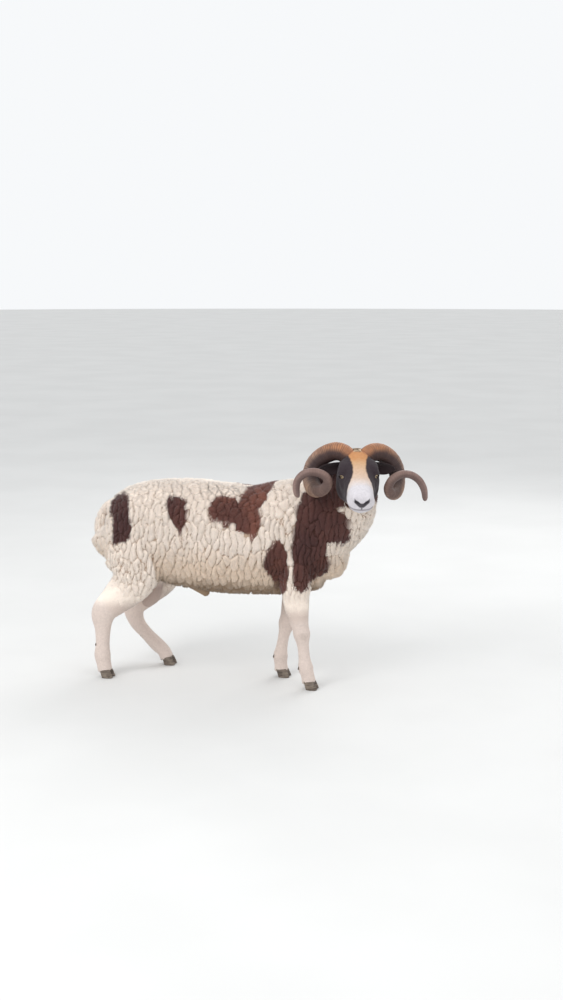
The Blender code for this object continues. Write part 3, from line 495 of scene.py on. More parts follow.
# Feel of the finishes
FLEECE_LOOK = (0.95, 0.16, 0.10, 420.0)  # light left at the root under the painted shade, spread of tone, warmth at the root, grain
HAIR_LOOK = (0.90, 0.2, 0.1, 900.0)
SKIN_GRAIN = 620.0
SKIN_ROUGHNESS = (0.85, 0.42)  # under hair, and bare
GROOVE_ROUGHNESS = (0.78, 0.50)  # in the horns' grooves, and on their crests
HOOF_ROUGHNESS = (0.65, 0.45)
# Strength and depth of the bumps
COAT_BUMP = (0.5, 0.002)
SKIN_BUMP = (0.55, 0.0016)
HORN_BUMP = (0.35, 0.0012)
HOOF_BUMP = (0.4, 0.001)

# Locks of fleece
LOCK_COUNT = 130000
LOCK_TRIES = 1.7  # places tried for each lock
LOCK_SPACING = 0.0022
TUFT_SIDES = 3  # of a lock or a hair
TUFT_LEVELS = (0.0, 0.55, 1.0)  # shares of the length at which a lock or a hair may bend
LOCK_WIDTHS = (1.00, 0.95)  # at the levels below the tip
LOCK_HALF_WIDTH = 0.0018
LOCK_HALF_THICKNESS = 0.0012
LOCK_FLATNESS = 0.92  # how far the shading of a lock's top follows the fleece as a whole
LOCK_ROOT = 0.002  # how far a lock starts under the skin
LOCK_LEAN = 1.10  # how far a lock leans over for each metre of its height
LOCK_STRAY = 0.0007  # sideways spread of the tips
LOCK_TWIST = 0.35  # spread of the turn round a lock's own line
LOCK_HEIGHTS = (0.90, 0.16)  # least share of the height, and what chance adds at most
STAPLE_HEIGHTS = (0.97, 0.04)
LOCK_LEANS = (0.8, 0.4)
LOCK_SIZES = (0.80, 0.40)
FLEECE_LIE = (-0.25, 0.0, -0.92)  # the way the fleece lies on the barrel
FLEECE_OUTWARDS = (0.45, 0.03)  # how far it lies outwards too, and how near the spine that begins
NECK_LIE = (0.0, 0.0, -0.85)
NECK_BACK = -0.55  # how far it lies along the neck too, the minus being towards the barrel
LEAST_FLEECE = 0.0065  # coat depth from which locks grow in place of short hair
FULL_FLEECE = 0.030  # coat depth from which the locks have their full width
CRACKED_FLEECE = 0.014  # coat depth from which the fleece begins to part into staples
CELL_SIZE = (0.021, 0.021, 0.062)  # the fleece's staples: along, across, down
CELL_POINTS = 68  # points of the skin in one staple
CELL_MEANDER = 0.45  # how far the staples' edges wander, in staple sizes
MEANDER_SIZE = 0.030
MEANDER_SEEDS = (9, 10, 12)
CRACK = (0.0006, 0.0046)  # distance from a staple's edge where the crack is deepest and where it ends
CRACK_GAP = 0.0006  # nothing grows nearer to a staple's edge than this
CRACK_DEPTH = 0.0058  # of the cracks sculpted into the skin
CRACK_SINK = 0.38  # how much lower the locks are in a crack
CRACK_PULL = 0.0014  # how far their tips are drawn to the staple's middle
BLOCKED = 0.002  # clearance from the horns, and the depth from which the skins below block a root
BLOCK_REACH = 0.06  # roots further from those surfaces than this aren't tested

# Short hair: half width, half thickness, length and lift, on the legs and on the face
HAIR_COUNT = 24000
HAIR = {"leg": (0.0007, 0.0004, 0.0065, 0.10), "face": (0.0006, 0.0004, 0.0046, 0.09)}
HAIR_ROOT = 0.0006
HAIR_STRAY = 0.22
HAIR_LENGTHS = (0.7, 0.6)  # least share of the length, and what chance adds at most
CROWN_HAIR = (0.020, 2.4, 12.0)  # how far down the forehead it is longer, how much longer, how much denser
CROWN_HALF_WIDTH = 0.034
LIGHTENED_CROWN_WOOL = ((0.820, 0.640, 0.470), 0.050, 0.085)  # colour behind the poll, its tan painted lighter as painted light against the horns' shadow, and its reach from the poll
HAIR_WIDTHS = (1.0, 0.8)
PIECE_TRIANGLES = 190000
PATCH_SIZE = 0.003  # of one tuft on the map of the coat
MAP_TILES = 4  # to a row of that map, one for each form
TILE_MARGIN = 0.05
TILE_SHARE = 0.9

# Finer forms of the horns
HORN_LEVELS = 1000
HORN_COLUMNS = 32
HORN_PITCH = (0.0044, 0.0086)  # between growth rings, at the root and at the tip
HORN_CREST = 0.0013
HORN_FADE = 0.88  # how much of the rings' height is gone at the tip
RING_SKEW = 0.10  # makes the crests steeper towards the tip
RING_FULLNESS = 0.38  # under 1 broadens the crests and narrows the grooves
FINE_RINGS = 3.0  # to a growth ring
FINE_RING_SHARE = 0.10
HORN_SMOOTH = (0.50, 0.66)  # where along the horn the rings fade
HORN_ROUND_LEVELS = 24  # over which the tip is rounded off
HORN_STEPS = 12  # between two rows of the table
HORN_UNEVENNESS = 0.0006
ARCH_MIDDLE = (0.080, -0.092, -0.010)  # inside the curl: out, up and forward of the poll
HOOK_MIDDLE = (0.155, -0.125, 0.065)
HOOK_START = (0.46, 0.62)  # where along the horn the middle passes from the arch to the hook

# Studio: name, place, size, power
LIGHTS = (
    ("key", (-1.6, -3.2, 3.4), 2.6, 86.0),
    ("fill", (3.2, -2.2, 1.8), 2.6, 14.0),
    ("back", (0.8, 3.2, 3.2), 2.6, 48.0),
)
AIR = (0.97, 0.985, 1.0)
AIR_STRENGTH = 0.96
FLOOR_RADIUS = 40.0
CAMERA_PLACE = (1.343, -4.768, 1.450)
CAMERA_PITCH = 9.4
CAMERA_TURN = 13.0
CAMERA_LENS = 52.0
LIGHT_TARGET = Vector((0, 0, 0.4))  # what the lights face

FLESH = ("torso", "neck", "head", "tail", "scrotum", "ear_left", "ear_right",
         "foreleg_right_upper", "foreleg_right_lower", "foreleg_left_upper", "foreleg_left_lower",
         "hindleg_right_upper", "hindleg_right_lower", "hindleg_left_upper", "hindleg_left_lower")

FACING = Vector((math.sin(HEAD_TURN), -math.cos(HEAD_TURN), 0.0))
HEAD_LEFT = Vector((0, 0, 1)).cross(FACING)
FACE_ALONG = FACING * math.cos(FACE_DIP) - Vector((0, 0, math.sin(FACE_DIP)))
FACE_UP = FACING * math.sin(FACE_DIP) + Vector((0, 0, math.cos(FACE_DIP)))
HEAD_AXES = np.array([FACE_ALONG, FACE_UP, HEAD_LEFT])


def unit(rows):
    """Each row made one long."""
    return rows / np.maximum(np.linalg.norm(rows, axis=-1, keepdims=True), 1e-9)


def smooth_step(value, low, high):
    """0 below low, 1 above high, with a smooth rise between."""
    t = np.clip((value - low) / (high - low), 0.0, 1.0)
    return t * t * (3 - 2 * t)


def varied(least, spread, drawn):
    """The least value and a share of the spread, for each drawn number."""
    return least + spread * drawn


def blend(first, second, share):
    """Rows that go from the first to the second by each row's share."""
    first, second = np.asarray(first), np.asarray(second)
    return first + (second - first) * share[..., None]


def head_point(along, up, out):
    """A point of the head's own frame, out being towards the ram's left."""
    return POLL + FACE_ALONG * along + FACE_UP * up + HEAD_LEFT * out


def in_head(points):
    """Along the face, up from it and out, for each point."""
    return (points - np.array(POLL)) @ HEAD_AXES.T


def wobble(points, size, seed):
    """Smooth noise from -1 to 1 at each point, with waves of the given size."""
    shift = Vector((seed * 7.1, seed * 3.3, seed * 5.7))
    return np.array([noise.noise(Vector(p) / size + shift) for p in points])


def smooth_stations(stations, steps):
    """The given rows of numbers, with rows on a smooth curve between them."""
    rows = np.array(stations, float)
    ends = np.vstack([2 * rows[0] - rows[1], rows, 2 * rows[-1] - rows[-2]])
    out = []
    for i in range(len(rows) - 1):
        a, b, c, d = ends[i:i + 4]
        for t in np.arange(steps) / steps:
            out.append(0.5 * (2 * b + (c - a) * t + (2 * a - 5 * b + 4 * c - d) * t * t
                              + (3 * b - a - 3 * c + d) * t ** 3))
    out.append(rows[-1])
    return np.array(out)


# Building meshes


def mesh_from_arrays(name, verts, quads, triangles=None):
    """A smooth mesh from arrays of points, four-sided faces and three-sided faces."""
    triangles = np.zeros((0, 3), int) if triangles is None else triangles
    mesh = bpy.data.meshes.new(name)
    mesh.vertices.add(len(verts))
    mesh.vertices.foreach_set("co", np.ascontiguousarray(verts, np.float32).ravel())
    corners = np.concatenate([np.ravel(quads), np.ravel(triangles)]).astype(np.int32)
    mesh.loops.add(len(corners))
    mesh.loops.foreach_set("vertex_index", corners)
    starts = np.concatenate([np.arange(len(quads)) * 4, len(quads) * 4 + np.arange(len(triangles)) * 3])
    mesh.polygons.add(len(starts))
    mesh.polygons.foreach_set("loop_start", starts.astype(np.int32))
    mesh.update(calc_edges=True)
    mesh.shade_smooth()
    return mesh


def object_from(name, data):
    """An object that shows some data in the scene."""
    obj = bpy.data.objects.new(name, data)
    bpy.context.scene.collection.objects.link(obj)
    return obj


def grid_faces(rows, columns):
    """Faces between rows of points that close on themselves."""
    r, k = np.meshgrid(np.arange(rows - 1), np.arange(columns), indexing="ij")
    a, b = r * columns + k, r * columns + (k + 1) % columns
    return np.stack([a, b, b + columns, a + columns], axis=-1).reshape(-1, 4)


def closed_rings(name, rings):
    """A closed mesh from an array of rings, with a fan at both ends."""
    rows, columns, _ = rings.shape
    verts = np.concatenate([rings.reshape(-1, 3), [rings[0].mean(0), rings[-1].mean(0)]])
    k = np.arange(columns)
    after = (k + 1) % columns
    first, last = rows * columns, (rows - 1) * columns
    fans = np.concatenate([np.stack([after, k, np.full(columns, first)], axis=1),
                           np.stack([k + last, after + last, np.full(columns, first + 1)], axis=1)])
    obj = object_from(name, mesh_from_arrays(name, verts, grid_faces(rows, columns), fans))
    face_out(obj)
    return obj


def face_out(obj):
    """Turns every face of a closed mesh outwards."""
    bm = bmesh.new()
    bm.from_mesh(obj.data)
    bmesh.ops.recalc_face_normals(bm, faces=bm.faces)
    bm.to_mesh(obj.data)
    bm.free()


def apply_modifiers(obj):
    """Replaces the object's mesh by the one its modifiers give."""
    graph = bpy.context.evaluated_depsgraph_get()
    graph.update()
    made = bpy.data.meshes.new_from_object(obj.evaluated_get(graph), depsgraph=graph)
    obj.modifiers.clear()
    obj.data = made
    return obj


def joined(name, pieces):
    """One smooth object from several, which are taken away."""
    bm = bmesh.new()
    for piece in pieces:
        bm.from_mesh(piece.data)
        bpy.data.objects.remove(piece)
    mesh = bpy.data.meshes.new(name)
    bm.to_mesh(mesh)
    bm.free()
    mesh.shade_smooth()
    return object_from(name, mesh)


def melted(name, parts, voxel, softening):
    """Melts overlapping forms into one soft closed surface."""
    body = joined(name, parts)
    remesh = body.modifiers.new("blend", "REMESH")
    remesh.mode = "VOXEL"
    remesh.voxel_size = voxel
    smooth = body.modifiers.new("soften", "SMOOTH")
    smooth.factor = 0.5
    smooth.iterations = softening
    return apply_modifiers(body)


def cut_away(obj, cutters):
    """Takes closed cutters out of an object."""
    group = bpy.data.collections.new("cutters")
    for cutter in cutters:
        group.objects.link(cutter)
    modifier = obj.modifiers.new("cut", "BOOLEAN")
    modifier.operation = "DIFFERENCE"
    modifier.operand_type = "COLLECTION"
    modifier.collection = group
    modifier.solver = "MANIFOLD"
    apply_modifiers(obj)
    for cutter in cutters:
        bpy.data.objects.remove(cutter)
    bpy.data.collections.remove(group)


def mesh_points(mesh, what="co"):
    """The mesh's points, or its normals, as an array."""
    source = mesh.vertices if what == "co" else mesh.vertex_normals
    name = "co" if what == "co" else "vector"
    flat = np.empty(len(source) * 3, np.float32)
    source.foreach_get(name, flat)
    return flat.reshape(-1, 3).astype(float)


def set_points(mesh, points):
    """Moves the mesh's points to new places."""
    mesh.vertices.foreach_set("co", np.ascontiguousarray(points, np.float32).ravel())
    mesh.update()


def add_values(mesh, name, values):
    """Stores one number, or one colour, at each point of the mesh."""
    if values.ndim == 1:
        layer = mesh.attributes.new(name, "FLOAT", "POINT")
        layer.data.foreach_set("value", np.ascontiguousarray(values, np.float32))
    else:
        layer = mesh.attributes.new(name, "FLOAT_COLOR", "POINT")
        full = np.concatenate([values, np.ones((len(values), 1))], axis=1)
        layer.data.foreach_set("color", np.ascontiguousarray(full, np.float32).ravel())


def finish_piece(obj, material, *nodes):
    """Sets a finished piece over the origin, gives it its material and ties it to the frame."""
    obj.data.transform(Matrix.Translation(ORIGIN_SHIFT))
    obj.data.materials.clear()
    obj.data.materials.append(material)
    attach(obj, "root")
    if nodes:
        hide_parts(*nodes)
    return obj


# The animal's forms


def limb_rows(stations):
    """Rings along a limb: its middle line, its directions and its half sizes."""
    rows = smooth_stations(stations, FORM_STEPS)
    side = np.array((0.0, 1.0, 0.0))
    way = unit(np.gradient(rows[:, :3], axis=0))
    across = unit(side - way * (way @ side)[:, None])
    return {"centre": rows[:, :3], "way": way, "across": across, "fore": np.cross(across, way),
            "deep": rows[:, 3], "wide": rows[:, 4], "coat": rows[:, 5],
            "square": np.full(len(rows), 2.0)}


def barrel_rows():
    """Rings along the barrel, a little squarer than a limb's."""
    table = [(x, 0.0, (top + bottom) / 2, (top - bottom) / 2, half, coat)
             for x, top, bottom, half, coat in BARREL]
    rows = limb_rows(table)
    rows["square"] += BARREL_SQUARENESS
    return rows


def skull_rows():
    """Rings along the skull, square to the face."""
    rows = smooth_stations(SKULL, FORM_STEPS)
    along, top, bottom, half, square = rows.T
    centre = np.array([head_point(a, (t + b) / 2, 0.0) for a, t, b in zip(along, top, bottom)])
    count = len(rows)
    return {"centre": centre, "way": np.tile(FACE_ALONG, (count, 1)),
            "across": np.tile(HEAD_LEFT, (count, 1)), "fore": np.tile(FACE_UP, (count, 1)),
            "deep": (top - bottom) / 2, "wide": half, "coat": np.zeros(count), "square": square}


def all_forms():
    """The rings of every form, by name."""
    forms = {"barrel": barrel_rows(), "skull": skull_rows()}
    for name, stations in (("neck", NECK), ("tail", TAIL), ("scrotum", SCROTUM), ("sheath", SHEATH),
                           ("fore_near", FORE_NEAR), ("fore_far", FORE_FAR),
                           ("hind_near", HIND_NEAR), ("hind_far", HIND_FAR)):
        forms[name] = limb_rows(stations)
    return forms


def form_mesh(name, rows, share=0.0, inset=0.0):
    """The closed form of some rows, set in by a share of its coat."""
    turn = 2 * np.pi * np.arange(RING_SIDES) / RING_SIDES
    c, s = np.cos(turn), np.sin(turn)
    square = rows["square"][:, None]
    reach = (np.abs(c) ** square + np.abs(s) ** square) ** (-1 / square)
    lose = rows["coat"] * share + inset
    wide = np.maximum(rows["wide"] - lose, THINNEST)[:, None] * c * reach
    deep = np.maximum(rows["deep"] - lose, THINNEST)[:, None] * s * reach
    rings = (rows["centre"][:, None] + rows["across"][:, None] * wide[..., None]
             + rows["fore"][:, None] * deep[..., None])
    return closed_rings(name, rings)


def globe(name, columns, rows, radius, stretch, place):
    """A closed ball, stretched and set in place."""
    mesh = bpy.data.meshes.new(name)
    bm = bmesh.new()
    bmesh.ops.create_uvsphere(bm, u_segments=columns, v_segments=rows, radius=radius)
    bmesh.ops.scale(bm, vec=stretch, verts=bm.verts)
    bmesh.ops.transform(bm, matrix=place, verts=bm.verts)
    bm.to_mesh(mesh)
    bm.free()
    return object_from(name, mesh)


def swelling(name, sizes, side):
    """An egg-shaped swelling of the skull, in the head's own frame."""
    along, up, out, *half_sizes = sizes
    turn = Matrix((FACE_ALONG, FACE_UP, HEAD_LEFT)).transposed().to_4x4()
    place = Matrix.Translation(head_point(along, up, out * side)) @ turn
    obj = globe(name, 24, 14, 1.0, half_sizes, place)
    face_out(obj)
    return obj


class Nearest:
    """Finds the ring of the animal's forms that a point lies on."""

    def __init__(self, forms):
        self.names = list(forms)
        parts = [forms[name] for name in self.names]
        self.form = np.concatenate([np.full(len(p["deep"]), i) for i, p in enumerate(parts)])
        self.place = np.concatenate([np.linspace(0, 1, len(p["deep"])) for p in parts])
        for key in ("centre", "way", "across", "fore", "deep", "wide", "coat"):
            setattr(self, key, np.concatenate([p[key] for p in parts]))

    def rings(self, points):
        """The index of the nearest ring, measured in ring sizes."""
        size = (self.deep + self.wide) / 2
        found = []
        for start in range(0, len(points), CHUNK):
            away = np.linalg.norm(points[start:start + CHUNK, None] - self.centre[None], axis=2)
            found.append(np.argmin(away / size, axis=1))
        return np.concatenate(found)

    def is_form(self, rings, *names):
        """Which rings belong to the named forms."""
        wanted = [self.names.index(name) for name in names]
        return np.isin(self.form[rings], wanted)

    def map_place(self, points, rings):
        """Where points lie on an unrolled map of the animal, one tile for each form."""
        off = points - self.centre[rings]
        turn = np.arctan2((off * self.fore[rings]).sum(1), (off * self.across[rings]).sum(1))
        form = self.form[rings]
        u = (form % MAP_TILES + TILE_MARGIN + TILE_SHARE * (turn / (2 * np.pi) + 0.5)) / MAP_TILES
        v = (form // MAP_TILES + TILE_MARGIN + TILE_SHARE * self.place[rings]) / MAP_TILES
        return np.stack([u, v], axis=1)


# Eyes and lids


def eye_frame(side):
    """Matrix at the eye's middle: z looks out of the eye, x runs along the slit."""
    look = (HEAD_LEFT * side + FACE_ALONG * EYE_FORWARD + FACE_UP * EYE_UP).normalized()
    slit = (FACE_ALONG + FACE_UP * EYE_SLANT).normalized()
    slit = (slit - look * slit.dot(look)).normalized()
    rotation = Matrix((slit, look.cross(slit), look)).transposed().to_4x4()
    along, up, out = EYE_PLACE
    return Matrix.Translation(head_point(along, up, out * side)) @ rotation


def ball(name, radius, side):
    """A ball round the middle of one eye."""
    return globe(name, 40, 28, radius, (1.0, 1.0, 1.0), eye_frame(side))


def slit_point(turn, spread):
    """A point of the almond between the lids, turn running once round it."""
    rise = math.sin(turn) * abs(math.sin(turn)) ** LID_SHARPNESS
    return spread * LID_LENGTH * math.cos(turn), spread * LID_OPENING * rise + LID_DROOP


def slit_block(side):
    """An almond block that opens the lids from the eye's middle outwards."""
    frame = eye_frame(side)
    turns = 2 * np.pi * np.arange(SLIT_SIDES) / SLIT_SIDES
    rings = []
    for depth, spread in ((0.0, SLIT_TAPER), (EYE_RADIUS + 3 * LID_THICKNESS, 1.0)):
        rings.append([frame @ Vector((*slit_point(turn, spread), depth)) for turn in turns])
    return closed_rings("slit", np.array(rings))


def bent_tube(name, path, radii, sides=10):
    """A round tube along a bent line."""
    path = np.array(path)
    way = unit(np.gradient(path, axis=0))
    side = np.cross(way, way.mean(0) + np.array((0.31, 0.17, 0.93)))
    across = unit(side)
    fore = np.cross(way, across)
    turn = 2 * np.pi * np.arange(sides) / sides
    rings = (path[:, None] + across[:, None] * np.cos(turn)[None, :, None] * radii[:, None, None]
             + fore[:, None] * np.sin(turn)[None, :, None] * radii[:, None, None])
    return closed_rings(name, rings)


def lid_rim(side, upper):
    """The thick edge of one lid, resting on the eyeball."""
    frame = eye_frame(side)
    radius = RIM_RADIUS["upper" if upper else "lower"]
    path = []
    for step in range(RIM_STEPS + 1):
        turn = math.pi * step / RIM_STEPS * (1 if upper else -1)
        x, y = slit_point(turn, RIM_SPREAD)
        over = EYE_RADIUS + RIM_RISE * radius
        path.append(frame @ Vector((x, y, math.sqrt(max(over ** 2 - x * x - y * y, 1e-6)))))
    ends = np.sin(np.linspace(0.12, 0.88, RIM_STEPS + 1) * np.pi)
    return bent_tube("rim", path, radius * (0.55 + 0.45 * ends))


def mouth_wedge():
    """A thin wedge bent round the muzzle: cutting it leaves the line between the lips."""
    rows = []
    further_out, further_up = MOUTH_CORNER
    reach, half_height = MOUTH_WEDGE
    for k in range(-MOUTH_STEPS, MOUTH_STEPS + 1):
        t = k / MOUTH_STEPS
        along = MOUTH_BACK + (MOUTH_FRONT - MOUTH_BACK) * math.cos(t * math.pi / 2) ** 0.8
        out = MOUTH_HALF_WIDTH * math.sin(t * math.pi / 2) + further_out * t
        up = MOUTH_RISE + further_up * (abs(t) ** 2.2)
        inward = Vector((-(along - MOUTH_BACK), 0, -out)).normalized()
        tip = head_point(along + inward.x * MOUTH_DEPTH, up, out + inward.z * MOUTH_DEPTH)
        root = head_point(along - inward.x * reach, up, out - inward.z * reach)
        rows.append([tip, root + FACE_UP * half_height, root - FACE_UP * half_height])
    return closed_rings("mouth", np.array(rows))


def nostril_block(side):
    """A bent slit, wide towards the front and narrow where it curls up and out."""
    rows = []
    turns = [2 * math.pi * k / 12 for k in range(12)]
    for t in np.linspace(0, 1, 9):
        along, up, out = (start + curl * t for start, curl in zip(NOSTRIL_START, NOSTRIL_CURL))
        middle = head_point(along, up, out * side)
        thick = NOSTRIL_RADIUS * (0.75 + 0.5 * math.sin(math.pi * t) - 0.45 * t)
        wide = (FACE_ALONG + HEAD_LEFT * side * 0.6).normalized()
        flat = (FACE_UP - HEAD_LEFT * side * 0.8).normalized()
        rows.append([middle + wide * NOSTRIL_HALF_LENGTH * math.cos(turn) + flat * thick * math.sin(turn)
                     for turn in turns])
    return closed_rings("nostril", np.array(rows))


# Skin


def body_skin(forms, nearest, rng):
    """The body without its locks, and the middles of the fleece's staples."""
    parts = [form_mesh(name, rows, SKIN_SHARE) for name, rows in forms.items() if name != "skull"]
    body = melted("body_skin", parts, BODY_VOXEL, BODY_SOFTENING)
    seeds = staple_seeds(mesh_points(body.data), rng)
    sculpt_body(body.data, nearest, seeds)
    return body, seeds


def parted(coat):
    """How far a coat of each depth parts into staples."""
    return smooth_step(coat, CRACKED_FLEECE, FULL_FLEECE)


def sculpt_body(mesh, nearest, seeds):
    """Cracks between the staples, waves in the fleece, tendons in the legs and the seam of the scrotum."""
    points, normals = mesh_points(mesh), mesh_points(mesh, "normal")
    full = parted(nearest.coat[nearest.rings(points)])
    crack = CRACK_DEPTH * full * (1 - smooth_step(staples(points, seeds)[2], *CRACK))
    x, y, z = points.T
    fleece = smooth_step(z, 0.26, 0.33)
    broad, small = WAVES
    lift = broad * wobble(points * (1.0, 1.0, 0.6), *NOISES["broad"]) * fleece
    lift += small * wobble(points, *NOISES["small"]) * fleece
    for seam_x, seam_z in SEAM_PLACES:
        near = np.exp(-((x - seam_x) ** 2 + (z - seam_z) ** 2) / SEAM_LENGTH ** 2)
        lift -= SEAM_DEPTH * near * np.exp(-(y / SEAM_HALF_WIDTH) ** 2) * (z < 0.34)
    knee, knee_half, swell = KNEE
    tendon, tendon_half, depth, tendon_width = TENDON
    for rows in (FORE_NEAR, FORE_FAR):
        foot_x, foot_y = rows[-1][:2]
        shin = np.exp(-((x - foot_x) ** 2 + (y - foot_y) ** 2) / SHIN_REACH ** 2)
        lift += swell * shin * np.exp(-((z - knee) / knee_half) ** 2)
        aside = np.abs(np.tanh((y - foot_y) / tendon_width))
        lift -= depth * shin * np.exp(-((z - tendon) / tendon_half) ** 2) * aside
    set_points(mesh, points + normals * (lift - crack)[:, None])


def head_skin(forms):
    """The skull melted with its swellings, then lids, nostrils and mouth cut and softened."""
    parts = [form_mesh("skull", forms["skull"]), swelling("chin", CHIN, 1)]
    for name, sizes in MASSES.items():
        parts += [swelling(name, sizes, side) for side in SIDES]
    stub = {key: value[-NECK_STUB:] for key, value in forms["neck"].items()}
    parts.append(form_mesh("stub", stub, SKIN_SHARE, STUB_INSET))
    parts += [ball("lid", EYE_RADIUS + LID_THICKNESS, side) for side in SIDES]
    head = melted("head_form", parts, HEAD_VOXEL, HEAD_SOFTENING)
    openings = [block(side) for block in (slit_block, nostril_block) for side in SIDES]
    cut_away(head, openings + [mouth_wedge()])
    cut_away(head, [ball("socket", EYE_RADIUS + SOCKET_CLEARANCE, side) for side in SIDES])
    rims = [lid_rim(side, upper) for side in SIDES for upper in (False, True)]
    head = melted("head_skin", [head] + rims, HEAD_VOXEL, LID_SOFTENING)
    sculpt_head(head.data)
    return head


def sculpt_head(mesh):
    """Hollows, bones, lips and the folds round the eyes."""
    points, normals = mesh_points(mesh), mesh_points(mesh, "normal")
    along, up, out = in_head(points).T
    lift = np.zeros(len(points))
    for at_along, at_up, at_out, radius, height in FACE_MARKS.values():
        away = (along - at_along) ** 2 + (up - at_up) ** 2 + (np.abs(out) - at_out) ** 2
        lift += height * np.exp(-away / radius ** 2)
    upper, lower = (np.exp(-((up - MOUTH_RISE - high) / half) ** 2) for high, half in LIPS)
    lift += LIP_SWELL * (upper + lower) * smooth_step(along, *LIP_START)
    parting = np.exp(-(out / PARTING_HALF_WIDTH) ** 2) * smooth_step(along, *PARTING_START)
    over_mouth = smooth_step(up, MOUTH_RISE - 0.002, MOUTH_RISE + 0.004)
    lift -= PARTING_DEPTH * parting * over_mouth * (up < -0.045)
    for side in SIDES:
        local = points - np.array(eye_frame(side).translation)
        axes = np.array(eye_frame(side).to_3x3())
        x, y, z = (local @ axes).T
        ring = np.sqrt((x * 0.85) ** 2 + (y * 1.25) ** 2)
        fold = sum(share * np.exp(-((ring - reach) / half) ** 2) for reach, half, share in LID_FOLDS)
        front = smooth_step(z, 0.0, 0.006)
        above, below = LID_FOLD_DEPTHS
        lift -= above * fold * front * smooth_step(y, -0.004, 0.006)
        lift -= below * fold * front * smooth_step(-y, -0.002, 0.008)
        away = np.linalg.norm(local, axis=1)
        lift[away < EYE_RADIUS + 0.0015] = 0.0
    lift += SKULL_UNEVENNESS * wobble(points, *NOISES["skull"]) * (along < 0.18)
    set_points(mesh, points + normals * lift[:, None])


def ear_frame(side):
    """The ear's root, the way it points, the way it opens and the way across it."""
    root = head_point(EAR_ROOT[0], EAR_ROOT[1], EAR_ROOT[2] * side)
    way = (HEAD_LEFT * side * EAR_OUT - FACING * EAR_BACK + Vector((0, 0, EAR_UP))).normalized()
    opening = FACING - Vector((0, 0, EAR_TILT))
    opening = (opening - way * opening.dot(way)).normalized()
    return root, way, opening, way.cross(opening)


def on_ear(points):
    """How much of each point belongs to an ear, from 0 to 1."""
    share = np.zeros(len(points))
    for side in SIDES:
        root, way, opening, across = (np.array(v) for v in ear_frame(side))
        off = points - root
        along, deep, wide = off @ way, off @ opening, off @ across
        near = (np.abs(deep) < 0.020) & (np.abs(wide) < EAR_WIDTH + 0.006) & (along < EAR_LENGTH + 0.01)
        share = np.maximum(share, smooth_step(along, 0.004, 0.012) * near)
    return share


def ear(side):
    """A leaf with a hollow inner face, thickened to a shell, its rim curled in a little."""
    root, way, opening, across = ear_frame(side)
    verts = []
    for r in range(EAR_ROWS + 1):
        t = r / EAR_ROWS
        half = EAR_WIDTH * (0.55 + 1.05 * t) * (1 - t ** 1.8) ** 0.75 + 0.0015
        cup = EAR_CUP * (1.15 - 0.75 * t)
        for c in range(EAR_COLUMNS + 1):
            u = 2 * c / EAR_COLUMNS - 1
            hollow = cup * (u * u) * (half / EAR_WIDTH) - 0.006 * t * t
            hollow += 0.0008 * math.cos(9 * u) * (1 - t)
            verts.append(root + way * EAR_LENGTH * t + across * half * u + opening * hollow)
    r, c = np.meshgrid(np.arange(EAR_ROWS), np.arange(EAR_COLUMNS), indexing="ij")
    a = (r * (EAR_COLUMNS + 1) + c).ravel()
    quads = np.stack([a, a + 1, a + EAR_COLUMNS + 2, a + EAR_COLUMNS + 1], axis=1)
    obj = object_from("ear_form", mesh_from_arrays("ear_form", np.array(verts), quads))
    shell = obj.modifiers.new("wall", "SOLIDIFY")
    shell.thickness = EAR_WALL * 0.8
    shell.offset = 0.0
    rounding = obj.modifiers.new("round", "SUBSURF")
    rounding.levels = 1
    apply_modifiers(obj)
    face_out(obj)
    return obj


# Markings


def outline_distance(x, z, outline):
    """Distance of each point to a closed outline in side view, negative inside."""
    best, inside = np.full(x.shape, 9.0), np.zeros(x.shape, bool)
    for (ax, az), (bx, bz) in zip(outline, outline[1:] + outline[:1]):
        ex, ez = bx - ax, bz - az
        t = np.clip(((x - ax) * ex + (z - az) * ez) / (ex * ex + ez * ez), 0, 1)
        best = np.minimum(best, np.hypot(x - ax - t * ex, z - az - t * ez))
        if az != bz:
            inside ^= ((az > z) != (bz > z)) & (x < ax + (z - az) / ez * ex)
    return np.where(inside, -best, best)


def fleece_colours(points):
    """Cream with dark patches."""
    x, y, z = points.T
    over_back = np.maximum(0.0, BACK_EDGE - np.abs(y)) * smooth_step(z, *BACK_START)
    height = z + over_back + PATCH_WOBBLE * wobble(points, *NOISES["patch_height"])
    length = x + PATCH_WOBBLE * wobble(points, *NOISES["patch_length"])
    colours = np.tile(CREAM, (len(points), 1))
    patch_shade = smooth_step(wobble(points, *NOISES["bleach"]), -0.5, 0.6)
    for hand, outlines in PATCHES.items():
        here = (y < MIDLINE) if hand == "right" else (y >= MIDLINE)
        for name, outline in outlines.items():
            within = -outline_distance(length, height, metres(outline))
            share = smooth_step(within, -PATCH_EDGE, PATCH_EDGE) * here
            wool = blend(DARK_WOOL, RED_WOOL, REDDENED[name] * varied(*BLEACHING, patch_shade))
            colours = blend(colours, wool, share)
    (at_x, at_z), half_x, half_z = THROAT
    throat = 1.3 - np.hypot((x - at_x) / half_x, (z - at_z) / half_z)
    return blend(colours, CREAM, smooth_step(throat, 0.0, 0.5))


